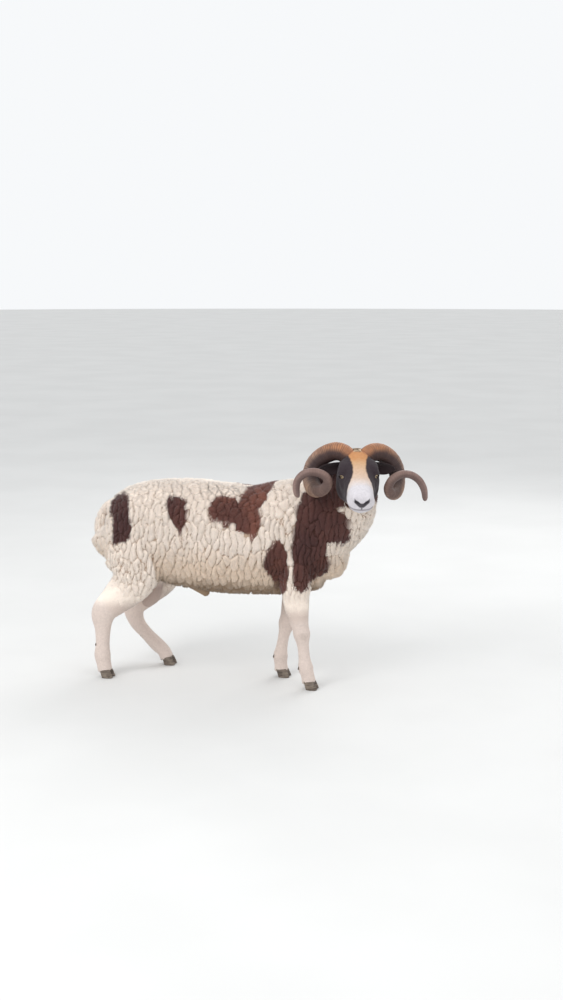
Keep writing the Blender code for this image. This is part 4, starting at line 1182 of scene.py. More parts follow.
def face_colours(points):
    """Dark cheeks, a blaze that is tan on the forehead and pale down the nose, a pale muzzle."""
    along, up, out = in_head(points).T
    jitter = BLAZE_WOBBLE * wobble(points, *NOISES["blaze"])
    along_table, half_table = np.array(BLAZE).T
    half = np.interp(along, along_table, half_table)
    front = smooth_step(up, BLAZE_FLOOR - 0.01, BLAZE_FLOOR + 0.01)
    slanted = along + jitter + 0.18 * np.minimum(up + 0.05, 0)
    on_muzzle = smooth_step(slanted, MUZZLE_START, MUZZLE_START + 0.014)
    reach = np.maximum(front, on_muzzle)
    blaze = smooth_step(half - np.abs(out) + jitter, -BLAZE_EDGE, BLAZE_EDGE) * reach
    places = [place for place, _ in FACE_STOPS]
    pale = np.stack([np.interp(along + 2 * jitter, places, [colour[k] for _, colour in FACE_STOPS])
                     for k in range(3)], axis=1)
    colours = blend(FACE_DARK, pale, blaze)
    jaw = smooth_step(-up, *JAW_BELOW) * smooth_step(along, *JAW_START)
    jaw *= smooth_step(JAW_HALF_WIDTH - np.abs(out), 0, 0.01)
    # the pale underside of the jaw, painted darker as a shade under the jaw
    colours = blend(colours, np.array(CREAM) * JAW_SHADE, jaw * JAW_SHADE)
    return blend(colours, NOSE_PAD, nose_pad(along, up, out))


def nose_pad(along, up, out):
    """How much of each point lies on the bare V between the nostrils or in the parting under it."""
    middle = PAD_MIDDLE + PAD_SLOPE * np.maximum(np.abs(out) - 0.006, 0)
    wing = smooth_step(PAD_HALF_HEIGHT - np.abs(up - middle), -0.0012, 0.0022)
    wing *= smooth_step(PAD_HALF_WIDTH - np.abs(out), 0, 0.004)
    parting = smooth_step(PAD_PARTING - np.abs(out), -0.0008, 0.0008)
    parting *= smooth_step(up, MOUTH_RISE, MOUTH_RISE + 0.004) * smooth_step(PAD_MIDDLE - up, 0, 0.004)
    return np.maximum(wing, parting) * smooth_step(along, *PAD_START)


def coat_colours(points, rings, nearest):
    """The colour of the coat's tips at each point, the same for the skin and for what grows on it."""
    colours = fleece_colours(points)
    # darker and browner towards the bottom of the barrel's sides
    low = smooth_step(-points[:, 2], *LOW_DARKENING_START) * nearest.is_form(rings, "barrel")
    colours = blend(colours, colours * LOW_DARKENING, low)
    # painted shade under the belly and the sheath
    under = smooth_step(-points[:, 2], *BELLY_SHADE_START) * nearest.is_form(rings, "barrel", "sheath")
    colours = blend(colours, BELLY_SHADE, under)
    lower = smooth_step(-points[:, 2], *LEG_WHITE_START)
    legs = nearest.is_form(rings, "fore_near", "fore_far", "hind_near", "hind_far") * lower
    colours = blend(colours, LEG_WHITE, legs)
    place, radius, smudge = KNEE_SMUDGE
    near = np.linalg.norm(points - np.array(place), axis=1) + 0.006 * wobble(points, *NOISES["smudge"])
    colours = blend(colours, smudge, smooth_step(radius - near, -0.008, 0.006))
    # the scrotum's bare skin, darkened partly as a painted shade between the hind legs
    bare = nearest.is_form(rings, "scrotum") * smooth_step(-points[:, 2], *SCROTUM_START)
    colours = blend(colours, SCROTUM_SKIN_AND_SHADE, bare)
    face = nearest.is_form(rings, "skull")
    colours[face] = face_colours(points[face])
    tan, near, far = LIGHTENED_CROWN_WOOL
    crown = smooth_step(far - np.linalg.norm(points - np.array(POLL), axis=1), 0, far - near)
    crown *= nearest.is_form(rings, "neck") * smooth_step(0.045 - np.abs(in_head(points)[:, 2]), 0, 0.02)
    # behind the poll and between the horns: the tan wool, painted lighter as painted light against the
    # horns' shadow
    colours = blend(colours, tan, np.maximum(crown, on_crown(points) * face))
    return blend(colours, EAR_DARK, on_ear(points))


# Coat


def face_table(mesh):
    """Corners of every face, as four vertex numbers each, and the faces' areas."""
    count = len(mesh.polygons)
    start, total = np.empty(count, np.int32), np.empty(count, np.int32)
    area = np.empty(count, np.float32)
    mesh.polygons.foreach_get("loop_start", start)
    mesh.polygons.foreach_get("loop_total", total)
    mesh.polygons.foreach_get("area", area)
    index = np.empty(len(mesh.loops), np.int32)
    mesh.loops.foreach_get("vertex_index", index)
    corners = np.stack([index[start + np.minimum(k, total - 1)] for k in range(4)], axis=1)
    return corners, area


def roots_on(mesh, wanted, count, rng):
    """Evenly spread roots: places and smooth normals on the faces, by the area wanted of each."""
    corners, area = face_table(mesh)
    points, normals = mesh_points(mesh), mesh_points(mesh, "normal")
    weight = np.cumsum(area * wanted[corners].mean(1))
    picks = (np.arange(count) + rng.random(count)) / count * weight[-1]
    face = np.minimum(np.searchsorted(weight, picks), len(area) - 1)
    u, v = rng.random(count), rng.random(count)
    share = np.stack([(1 - u) * (1 - v), u * (1 - v), u * v, (1 - u) * v], axis=1)[..., None]
    place = (points[corners[face]] * share).sum(1)
    normal = unit((normals[corners[face]] * share).sum(1))
    return place, normal


def tree_of(obj, shift=Vector()):
    """A search tree of the object's surface, moved by a shift."""
    corners, _ = face_table(obj.data)
    points = mesh_points(obj.data) + np.array(shift)
    return BVHTree.FromPolygons([tuple(p) for p in points], [tuple(c) for c in corners.tolist()])


def inside_tree(tree, points, margin):
    """Which points lie inside the closed mesh of the tree, or no further out than the margin."""
    found = np.zeros(len(points), bool)
    for i, point in enumerate(points):
        spot, normal, _, _ = tree.find_nearest(Vector(point), BLOCK_REACH)
        if spot is not None:
            found[i] = (Vector(point) - spot).dot(normal) < margin
    return found


def clear_of(blockers, places, tops=None):
    """Which places lie outside every blocker, and their tops too for the blockers that ask it."""
    keep = np.ones(len(places), bool)
    for tree, margin, also_tops in blockers:
        keep &= ~inside_tree(tree, places, margin)
        if also_tops and tops is not None:
            keep &= ~inside_tree(tree, tops, margin)
    return keep


def lie_of(points, normals, rings, nearest):
    """The way the coat lies: down the sides and legs, up the face, down the crown, out along the ears."""
    down = np.tile(FLEECE_LIE, (len(points), 1))
    outwards, near_spine = FLEECE_OUTWARDS
    down[:, 1] = outwards * points[:, 1] / (np.abs(points[:, 1]) + near_spine)
    limb = nearest.is_form(rings, "tail", "scrotum", "sheath", "fore_near", "fore_far",
                           "hind_near", "hind_far")
    down[limb] = nearest.way[rings[limb]]
    neck = nearest.is_form(rings, "neck")
    down[neck] = nearest.way[rings[neck]] * NECK_BACK + np.array(NECK_LIE)
    skull = nearest.is_form(rings, "skull")
    down[skull] = np.outer(2 * on_crown(points[skull]) - 1, FACE_ALONG)
    for side in SIDES:
        ear_side = (on_ear(points) > 0.1) & (in_head(points)[:, 2] * side > 0)
        down[ear_side] = ear_frame(side)[1]
    down += 1e-4
    return unit(down - normals * (down * normals).sum(1)[:, None])


def staple_space(points):
    """Places in the bent space in which the fleece's staples are round."""
    meander = np.stack([wobble(points, MEANDER_SIZE, seed) for seed in MEANDER_SEEDS], axis=1)
    return points / np.array(CELL_SIZE) + CELL_MEANDER * meander


def filled_tree(points):
    """A search tree of single points."""
    tree = kdtree.KDTree(len(points))
    for i, point in enumerate(points):
        tree.insert(point, i)
    tree.balance()
    return tree


def staple_seeds(points, rng):
    """Evenly spread middles of the staples, from evenly spread points of the skin."""
    scaled = staple_space(points)
    seeds = scaled[rng.choice(len(points), len(points) // CELL_POINTS, replace=False)]
    for _ in range(3):
        tree = filled_tree(seeds)
        owner = np.array([tree.find(p)[1] for p in scaled])
        sums = np.stack([np.bincount(owner, scaled[:, k], len(seeds)) for k in range(3)], axis=1)
        held = np.bincount(owner, minlength=len(seeds))[:, None]
        seeds = np.where(held > 0, sums / np.maximum(held, 1), seeds)
    return seeds


def staples(points, seeds):
    """Each point's staple, the way to its middle and the distance to its edge."""
    tree, scaled = filled_tree(seeds), staple_space(points)
    found = [tree.find_n(p, 2) for p in scaled]
    owner = np.array([pair[0][1] for pair in found])
    edge = np.array([(pair[1][2] - pair[0][2]) / 2 for pair in found]) * CELL_SIZE[0]
    return owner, (seeds[owner] - scaled) * np.array(CELL_SIZE), edge


def well_spaced(points, spacing):
    """Which points to keep so that no two are nearer than the spacing."""
    tree = filled_tree(points)
    keep = np.ones(len(points), bool)
    for i, point in enumerate(points):
        if keep[i]:
            for _, other, _ in tree.find_range(point, spacing):
                if other > i:
                    keep[other] = False
    return keep


def tuft_piece(name, lines, across, flat, widths, thick):
    """Closed tapering tufts along many middle lines.

    Also returns each point's share of its tuft's length, its place round it, and the points in a tuft.
    """
    count, levels, _ = lines.shape
    rings = levels - 1
    side = np.arange(TUFT_SIDES)
    turn = 2 * np.pi * (side + 0.5) / TUFT_SIDES
    ring = (lines[:, :rings, None]
            + across[:, None, None] * (widths[:, :, None] * np.cos(turn))[..., None]
            + flat[:, None, None] * (thick[:, :, None] * np.sin(turn))[..., None])
    verts = np.concatenate([ring.reshape(count, -1, 3), lines[:, -1:]], axis=1)
    per = rings * TUFT_SIDES + 1
    last = (rings - 1) * TUFT_SIDES
    tip = np.stack([side + last, (side + 1) % TUFT_SIDES + last, np.full(TUFT_SIDES, per - 1)], axis=1)
    ends = np.concatenate([tip, [(2, 1, 0)]])
    first = (np.arange(count) * per)[:, None, None]
    mesh = mesh_from_arrays(name, verts.reshape(-1, 3),
                            (grid_faces(rings, TUFT_SIDES)[None] + first).reshape(-1, 4),
                            (ends[None] + first).reshape(-1, 3))
    share = np.append(np.repeat(np.linspace(0, 1, levels)[:rings], TUFT_SIDES), 1.0)
    around = np.append(np.tile(side / TUFT_SIDES, rings), 0.5)
    return mesh, np.tile(share, count), np.tile(around, count), per


def add_coat_map(mesh, centres, share, around, per):
    """A map of the coat for the tufts' colours: a small patch for each tuft at its root's place."""
    layer = mesh.uv_layers.new(name="OFBake")
    place = np.repeat(centres, per, axis=0)
    place = place + np.stack([around - 0.5, share - 0.5], axis=1) * PATCH_SIZE
    index = np.empty(len(mesh.loops), np.int32)
    mesh.loops.foreach_get("vertex_index", index)
    layer.data.foreach_set("uv", np.ascontiguousarray(place[index], np.float32).ravel())


def coat_pieces(name, material, lines, across, flat, widths, thick, values, skin):
    """Tufts joined to pieces small enough to handle, cut along the animal's length.

    The tops of the tufts are shaded by the normals of the skin, so that they read as one surface.
    """
    each = (len(TUFT_LEVELS) - 2) * TUFT_SIDES * 2 + TUFT_SIDES + 1
    order = np.argsort(lines[:, 0, 0], kind="stable")
    share_count = int(np.ceil(len(lines) * each / PIECE_TRIANGLES))
    for number, chosen in enumerate(np.array_split(order, share_count), 1):
        label = f"{name}_{number}"
        mesh, share, around, per = tuft_piece(label, lines[chosen], across[chosen], flat[chosen],
                                              widths[chosen], thick[chosen])
        depth = np.repeat(values["depth"][chosen], per)
        # each point's nearness to the tip, which sets the painted shade at the root
        add_values(mesh, "tip", 1 - (1 - share) * depth)
        add_values(mesh, "tone", np.repeat(values["tone"][chosen], per))
        add_values(mesh, "coat", np.repeat(values["colour"][chosen], per, axis=0))
        add_coat_map(mesh, values["map"][chosen], share, around, per)
        flatness = LOCK_FLATNESS * smooth_step(share, 0.0, 0.5)
        shaded = blend(mesh_points(mesh, "normal"), np.repeat(skin[chosen], per, axis=0), flatness)
        mesh.normals_split_custom_set_from_vertices(unit(shaded).tolist())
        finish_piece(object_from(label, mesh), material)


def fleece_roots(mesh, fleece_share, nearest, seeds, blockers, rng):
    """Where the locks grow: evenly spaced on the woolly parts, clear of the horns and of the cracks."""
    place, normal = roots_on(mesh, fleece_share, int(LOCK_COUNT * LOCK_TRIES), rng)
    order = rng.permutation(len(place))
    place, normal = place[order], normal[order]
    keep = well_spaced(place, LOCK_SPACING)
    place, normal = place[keep], normal[keep]
    rings = nearest.rings(place)
    coat = np.maximum(nearest.coat[rings], LEAST_FLEECE)
    lie = lie_of(place, normal, rings, nearest)
    top = place + (normal + lie * LOCK_LEAN) * (coat * SKIN_SHARE)[:, None]
    keep = clear_of(blockers, place, top)
    keep &= (staples(place, seeds)[2] > CRACK_GAP) | (coat < CRACKED_FLEECE)
    return place[keep], normal[keep], rings[keep], coat[keep], lie[keep]


def tuft_lines(place, normal, lie, up, along):
    """Middle lines of tufts from how far they rise and lie over at each level."""
    lines = np.empty((len(place), len(TUFT_LEVELS), 3))
    for k, level in enumerate(TUFT_LEVELS):
        lines[:, k] = place + normal * up(level)[:, None] + lie * along(level)[:, None]
    return lines


def grow_fleece(mesh, fleece_share, nearest, seeds, blockers, material, rng):
    """Fine pointed locks, combed down and gathered into staples with cracks between them."""
    place, normal, rings, coat, lie = fleece_roots(mesh, fleece_share, nearest, seeds, blockers, rng)
    count = len(place)
    owner, inward, edge = staples(place, seeds)
    inward -= normal * (inward * normal).sum(1)[:, None]
    crack = (1 - smooth_step(edge, *CRACK)) * parted(coat)
    full = np.clip(coat / FULL_FLEECE, 0.0, 1.0)
    height = coat * SKIN_SHARE * varied(*STAPLE_HEIGHTS, rng.random(len(seeds)))[owner]
    height *= (1.04 - CRACK_SINK * crack) * varied(*LOCK_HEIGHTS, rng.random(count))
    lean = LOCK_LEAN * varied(*LOCK_LEANS, rng.random(count))
    pull = unit(inward) * (CRACK_PULL * crack)[:, None]
    pull += np.cross(normal, lie) * rng.normal(0, LOCK_STRAY, count)[:, None]
    lines = tuft_lines(place, normal, lie, lambda t: (height + LOCK_ROOT) * t - LOCK_ROOT,
                       lambda t: lean * height * t)
    lines += pull[:, None] * np.array(TUFT_LEVELS)[:, None]
    axis = unit(lines[:, -1] - lines[:, 0])
    turn = np.pi / 2 + rng.normal(0, LOCK_TWIST, count)
    first = unit(lie - axis * (lie * axis).sum(1)[:, None])
    second = np.cross(axis, first)
    across = first * np.cos(turn)[:, None] + second * np.sin(turn)[:, None]
    flat = np.cross(axis, across)
    fuller = varied(*LOCK_SIZES, rng.random(count)) * np.clip(full ** 0.5, 0.60, 1.0)
    widths = np.array(LOCK_WIDTHS)[None] * (LOCK_HALF_WIDTH * fuller)[:, None]
    thick = np.array(LOCK_WIDTHS)[None] * (LOCK_HALF_THICKNESS * fuller)[:, None]
    # tone varies at random from staple to staple and lock to lock, and is lowered in the cracks as a painted
    # shade
    tone = np.clip(0.5 * rng.random(len(seeds))[owner] + 0.5 * rng.random(count) - 0.15 * crack, 0, 1)
    middles = place + inward * 0.6
    values = {"tone": tone, "colour": coat_colours(middles, nearest.rings(middles), nearest),
              "map": nearest.map_place(place, rings), "depth": full}
    coat_pieces("fleece", material, lines, across, flat, widths, thick, values, normal)


def on_crown(points):
    """How much of each point belongs to the tuft between the horns."""
    along, _, out = in_head(points).T
    between_horns = smooth_step(CROWN_HALF_WIDTH - np.abs(out), 0.0, 0.012)
    return smooth_step(CROWN_HAIR[0] - along, 0.0, 0.02) * between_horns


def grow_hair(mesh, hair_share, nearest, blockers, material, rng):
    """Short hair that lies almost flat on the face, ears, legs and scrotum, longer between the horns."""
    _, longer, denser = CROWN_HAIR
    crown = on_crown(mesh_points(mesh))
    place, normal = roots_on(mesh, hair_share * (1 + denser * crown), HAIR_COUNT, rng)
    keep = clear_of(blockers, place)
    place, normal = place[keep], normal[keep]
    count = len(place)
    rings = nearest.rings(place)
    lie = lie_of(place, normal, rings, nearest)
    lie = unit(lie + np.cross(normal, lie) * rng.normal(0, HAIR_STRAY, count)[:, None])
    across = np.cross(normal, lie)
    face = nearest.is_form(rings, "skull")
    half, thin, length, lift = (np.where(face, a, b) for a, b in zip(HAIR["face"], HAIR["leg"]))
    crown = on_crown(place) * face
    length = length * varied(*HAIR_LENGTHS, rng.random(count)) * (1 + (longer - 1) * crown)
    half, lift = half * (1 + 2.2 * crown), lift + 0.10 * crown
    on_rim = on_ear(place)
    length, lift = length * (1 - 0.3 * on_rim), lift * (1 - on_rim)
    lines = tuft_lines(place, normal, lie, lambda t: length * lift * t - HAIR_ROOT, lambda t: length * t)
    widths = np.array(HAIR_WIDTHS)[None] * half[:, None]
    thick = np.array(HAIR_WIDTHS)[None] * thin[:, None]
    values = {"tone": rng.random(count), "colour": coat_colours(place, rings, nearest),
              "map": nearest.map_place(place, rings), "depth": np.full(count, 0.5)}
    shading = unit(normal + np.outer(crown * 1.6, FACING))
    coat_pieces("hair", material, lines, across, normal, widths, thick, values, shading)


# Horns, hooves and eyes


def horn_line(side, count):
    """Evenly spaced places along the horn's middle line, their radii and shares, and the length."""
    rows = smooth_stations(HORN_LINES[side], HORN_STEPS)
    reach = np.concatenate([[0], np.cumsum(np.linalg.norm(np.diff(rows[:, :3], axis=0), axis=1))])
    even = np.linspace(0, reach[-1], count)
    out, up, forward, radius = (np.interp(even, reach, column) for column in rows.T)
    places = (np.array(POLL) + np.outer(out * side, HEAD_LEFT) + np.outer(up, UP)
              + np.outer(forward, FACING))
    for _ in range(3):
        places[1:-1] = (places[:-2] + places[1:-1] * 2 + places[2:]) / 4
    return places, radius, even / reach[-1], reach[-1]


def horn_middle(side, offset):
    """A place inside the curl, given out, up and forward of the poll."""
    out, up, forward = offset
    return np.array(POLL + HEAD_LEFT * side * out + Vector((0, 0, up)) + FACING * forward)


def horn_ring(growth):
    """Height of the growth rings, from 0 in a groove to 1 on a crest that is steeper towards the tip."""
    phase = growth + RING_SKEW * np.sin(2 * np.pi * growth)
    wave = (0.5 + 0.5 * np.cos(2 * np.pi * phase)) ** RING_FULLNESS
    fine = 0.5 + 0.5 * np.cos(2 * np.pi * growth * FINE_RINGS + np.sin(growth))
    height = wave * (0.78 + 0.20 * np.sin(growth * 2.3)) + FINE_RING_SHARE * fine
    return np.clip(height + 0.06 * np.sin(growth * 0.9), 0, 1)


def horn(side, material):
    """A tapering coil with close growth rings that fade towards the tip."""
    places, radii, share, length = horn_line(side, HORN_LEVELS)
    pitch = HORN_PITCH[0] + (HORN_PITCH[1] - HORN_PITCH[0]) * share
    pitch *= 1 + 0.30 * np.sin(share * 61) * np.sin(share * 23)
    growth = np.cumsum(length / HORN_LEVELS / pitch)
    fade = 1 - HORN_FADE * smooth_step(share, *HORN_SMOOTH)
    end = (HORN_LEVELS - 1 - np.arange(HORN_LEVELS)) / HORN_ROUND_LEVELS
    radii = radii * (1 + 0.04 * (1 - smooth_step(share, 0.2, 0.4)))
    radii = radii * np.sqrt(np.clip(1 - np.clip(1 - end, 0, 1) ** 2.2, 0.004, 1))
    way = unit(np.gradient(places, axis=0))
    arch, hook = horn_middle(side, ARCH_MIDDLE), horn_middle(side, HOOK_MIDDLE)
    middle = arch + (hook - arch) * smooth_step(share, *HOOK_START)[:, None]
    inward = middle - places
    inward = unit(inward - way * (inward * way).sum(1)[:, None])
    across = np.array(UP)
    turn = 2 * np.pi * np.arange(HORN_COLUMNS) / HORN_COLUMNS
    rings, inner, crest = [], [], []
    spots = np.stack([np.tile(np.cos(turn) * 1.6, HORN_LEVELS), np.tile(np.sin(turn) * 1.6, HORN_LEVELS),
                      np.repeat(share * 26, HORN_COLUMNS)], axis=1)
    noise_around = wobble(spots, 1.0, 14 + side).reshape(HORN_LEVELS, HORN_COLUMNS)
    for i in range(HORN_LEVELS):
        across = unit(across - way[i] * (across @ way[i]))
        flank = np.cross(way[i], across)
        outward = np.outer(np.cos(turn), across) + np.outer(np.sin(turn), flank)
        inside = outward @ inward[i]
        wavy = noise_around[i] * 0.34 + 0.12 * inside + 0.06 * np.sin(2 * turn)
        ring = horn_ring(growth[i] + wavy)
        ridge = HORN_CREST * fade[i] * (ring - 0.55) * (0.80 - 0.20 * inside)
        reach = radii[i] * (1 - 0.05 * inside ** 2) + ridge * min(1.0, end[i])
        rings.append(places[i] + outward * reach[:, None])
        inner.append(0.5 + 0.5 * inside)
        crest.append(0.5 + (ring - 0.5) * fade[i])
    rings = np.array(rings)
    rough = wobble(rings.reshape(-1, 3), *NOISES["horn"]).reshape(rings.shape[:2])
    centre = rings.mean(1, keepdims=True)
    rings += unit(rings - centre) * (HORN_UNEVENNESS * rough)[..., None]
    name = "horn_left" if side > 0 else "horn_right"
    obj = closed_rings(name + "_shell", rings)
    along = np.repeat(share[:, None], HORN_COLUMNS, axis=1)
    for label, rows in (("along", along), ("inner", inner), ("crest", crest)):
        rows = np.array(rows)
        add_values(obj.data, label, np.concatenate([rows.ravel(), [rows[0, 0], rows[-1, 0]]]))
    obj.data.shade_smooth()
    return finish_piece(obj, material, name)


def claw(foot, inner, material):
    """One hoof: a wedge with a flat sole, a sloping front, a rounded heel and low rings."""
    x, y = FEET[foot]
    side = 1 if inner else -1
    closed = smooth_stations(CLAW_SOLE + CLAW_SOLE[:1], CLAW_STEPS)[:-1]
    rings = []
    for level, lengthen, widen, forward in smooth_stations(CLAW_SHAPE, CLAW_STEPS):
        level = min(max(level, 0.0), 1.0)
        ripple = 1 + 0.012 * math.sin(level * 38) * (0.05 < level < 0.95)
        ring = np.empty((len(closed), 3))
        ring[:, 0] = x + forward * HOOF_TOE + closed[:, 0] * HOOF_LENGTH * lengthen * 1.15 * ripple
        ring[:, 1] = y + side * CLAW_SPLIT + closed[:, 1] * HOOF_HALF_WIDTH * widen * ripple
        ring[:, 2] = level * HOOF_HEIGHT
        rings.append(ring)
    which = "inner" if inner == foot.endswith("right") else "outer"
    obj = closed_rings(f"claw_{foot}_{which}", np.array(rings))
    obj.data.shade_smooth()
    return finish_piece(obj, material, f"hoof_{foot}_{which}")


def dewclaws(material):
    """The two small horny studs behind each fetlock."""
    pieces = []
    for rows in (FORE_NEAR, FORE_FAR, HIND_NEAR, HIND_FAR):
        x, y, z, deep, wide, _ = rows[DEWCLAW_ROW]
        for side in SIDES:
            start = np.array((x - deep * 0.66, y + side * wide * 0.45, z + 0.002))
            end = start + np.array(DEWCLAW_DROP) * (1, side, 1)
            path = start + np.linspace(-0.8, 1, DEWCLAW_STEPS)[:, None] * (end - start)
            shares = np.linspace(0, 0.99, DEWCLAW_STEPS)
            radii = DEWCLAW_RADIUS * np.sqrt(np.clip(1 - shares ** 4, 0, 1))
            pieces.append(bent_tube("dewclaw", path, radii, 16))
    return finish_piece(joined("dewclaws", pieces), material)


def eye(side, material):
    """An eyeball with a raised cornea, its looks given by the place seen from its own middle."""
    name = "eye_left" if side > 0 else "eye_right"
    obj = ball(name + "_ball", EYE_RADIUS - BALL_CLEARANCE, side)
    frame = eye_frame(side)
    points = mesh_points(obj.data)
    axes = np.array(frame.to_3x3())
    local = (points - np.array(frame.translation)) @ axes
    near = np.clip(1 - (np.hypot(local[:, 0], local[:, 1]) / IRIS_RADIUS) ** 2, 0, 1) * (local[:, 2] > 0)
    set_points(obj.data, points + axes[:, 2] * (CORNEA_RISE * near)[:, None])
    layer = obj.data.attributes.new("gaze", "FLOAT_VECTOR", "POINT")
    layer.data.foreach_set("vector", np.ascontiguousarray(local * GAZE_SCALE, np.float32).ravel())
    obj.data.shade_smooth()
    return finish_piece(obj, material, name)


# Materials


def new_material(name, roughness, **constants):
    """A material with its shader, its constant values set on the shader itself."""
    made = bpy.data.materials.new(name)
    made.use_nodes = True
    shader = made.node_tree.nodes["Principled BSDF"]
    shader.inputs["Roughness"].default_value = roughness
    for socket, value in constants.items():
        shader.inputs[socket.replace("_", " ")].default_value = value
    return made, made.node_tree, shader


def add_node(tree, kind, inputs=None, **settings):
    """A node with its settings, and its inputs set to numbers or linked to sockets."""
    node = tree.nodes.new(kind)
    for key, value in settings.items():
        setattr(node, key, value)
    for key, value in (inputs or {}).items():
        if isinstance(value, bpy.types.NodeSocket):
            tree.links.new(value, node.inputs[key])
        else:
            node.inputs[key].default_value = value
    return node


def math_node(tree, operation, first, second=0.0):
    """The outcome of one sum on numbers or sockets."""
    return add_node(tree, "ShaderNodeMath", {0: first, 1: second}, operation=operation).outputs[0]


def times(tree, first, second):
    """One value times another."""
    return math_node(tree, "MULTIPLY", first, second)


def plus(tree, first, second):
    """The sum of two values."""
    return math_node(tree, "ADD", first, second)


def minus(tree, first, second):
    """One value less another."""
    return math_node(tree, "SUBTRACT", first, second)


def mixed(tree, share, first, second, blend_type="MIX"):
    """One colour mixed into another."""
    first, second = ((*colour, 1.0) if isinstance(colour, tuple) else colour for colour in (first, second))
    node = add_node(tree, "ShaderNodeMix", {0: share, 6: first, 7: second},
                    data_type="RGBA", blend_type=blend_type)
    return node.outputs[2]


def ranged(tree, value, low, high, to_low=0.0, to_high=1.0):
    """A value brought smoothly from one range to another."""
    node = add_node(tree, "ShaderNodeMapRange", {0: value, 1: low, 2: high, 3: to_low, 4: to_high},
                    interpolation_type="SMOOTHSTEP")
    return node.outputs[0]


def attribute(tree, name, output="Fac"):
    """A value stored at the points of the mesh."""
    return add_node(tree, "ShaderNodeAttribute", attribute_name=name).outputs[output]


def noise_shade(tree, scale, detail=3.0, stretch=(1, 1, 1)):
    """Noise from 0 to 1 in the object's own space."""
    place = add_node(tree, "ShaderNodeTexCoord").outputs["Object"]
    mapping = add_node(tree, "ShaderNodeMapping", {"Vector": place, "Scale": stretch})
    node = add_node(tree, "ShaderNodeTexNoise", {"Vector": mapping.outputs[0], "Scale": scale,
                                                 "Detail": detail})
    return node.outputs["Fac"]


def group_with(name, inputs, outputs):
    """A node group with named sockets, its inner inputs and its output node."""
    group = bpy.data.node_groups.new(name, "ShaderNodeTree")
    for label, kind, value in inputs:
        socket = group.interface.new_socket(label, in_out="INPUT", socket_type=kind)
        socket.default_value = value
    for label, kind in outputs:
        group.interface.new_socket(label, in_out="OUTPUT", socket_type=kind)
    return group, group.nodes.new("NodeGroupInput").outputs, group.nodes.new("NodeGroupOutput")


def coat_shade_group():
    """Colour of the coat from its tips' colour: a painted shade darkens it towards the root, where it is
    also warmer, and it is uneven from tuft to tuft.
    """
    group, given, out = group_with("coat_shade", (
        ("Root Shade", "NodeSocketFloat", 0.3), ("Tone Spread", "NodeSocketFloat", 0.2),
        ("Warmth", "NodeSocketFloat", 0.3)), (("Colour", "NodeSocketColor"),))
    coat = attribute(group, "coat", "Color")
    tip = attribute(group, "tip")
    # towards the root the colour is darkened, a painted shade between the tufts
    depth = ranged(group, tip, 0.15, 0.95)
    rest = minus(group, 1.0, given["Root Shade"])
    keep = plus(group, given["Root Shade"], times(group, depth, rest))
    tone = minus(group, attribute(group, "tone"), 0.5)
    tone = plus(group, 1.0, times(group, tone, given["Tone Spread"]))
    patch = ranged(group, noise_shade(group, 9.0), 0.3, 0.7, 0.95, 1.03)
    level = times(group, times(group, keep, tone), patch)
    warmth = times(group, given["Warmth"], minus(group, 1.0, depth))
    warm = mixed(group, warmth, coat, WARM_ROOTS, "MULTIPLY")
    grey = add_node(group, "ShaderNodeCombineColor", {0: level, 1: level, 2: level}).outputs[0]
    group.links.new(mixed(group, 1.0, warm, grey, "MULTIPLY"), out.inputs["Colour"])
    return group


def grain_group():
    """Fine hair grain: a height for bump and a shade for the colour."""
    group, given, out = group_with("hair_grain", (
        ("Scale", "NodeSocketFloat", 700.0), ("Contrast", "NodeSocketFloat", 0.3)), (
        ("Height", "NodeSocketFloat"), ("Shade", "NodeSocketColor")))
    fine = noise_shade(group, given["Scale"], 2.0)
    coarse = noise_shade(group, times(group, given["Scale"], 0.22), 2.0)
    height = plus(group, times(group, fine, 0.6), times(group, coarse, 0.4))
    group.links.new(height, out.inputs["Height"])
    level = times(group, minus(group, height, 0.5), given["Contrast"])
    level = plus(group, 1.0, times(group, level, 2.0))
    grey = add_node(group, "ShaderNodeCombineColor", {0: level, 1: level, 2: level}).outputs[0]
    group.links.new(grey, out.inputs["Shade"])
    return group


def add_bump(tree, shader, height, strength, distance):
    """Leads a height through a bump to the shader's normal."""
    bump = add_node(tree, "ShaderNodeBump", {"Height": height, "Strength": strength, "Distance": distance})
    tree.links.new(bump.outputs[0], shader.inputs["Normal"])


def coat_material(name, root_shade, tone_spread, warmth, grain_scale, groups):
    """Matt hair or wool with a soft sheen and a fine grain."""
    made, tree, shader = new_material(name, 0.92, Sheen_Weight=0.22, Sheen_Roughness=0.6,
                                      Specular_IOR_Level=0.12)
    given = {"Root Shade": root_shade, "Tone Spread": tone_spread, "Warmth": warmth}
    shade = add_node(tree, "ShaderNodeGroup", given, node_tree=groups["shade"])
    given = {"Scale": grain_scale, "Contrast": 0.5}
    grain = add_node(tree, "ShaderNodeGroup", given, node_tree=groups["grain"])
    colour = mixed(tree, 1.0, shade.outputs["Colour"], grain.outputs["Shade"], "MULTIPLY")
    tree.links.new(colour, shader.inputs["Base Color"])
    add_bump(tree, shader, grain.outputs["Height"], *COAT_BUMP)
    return made


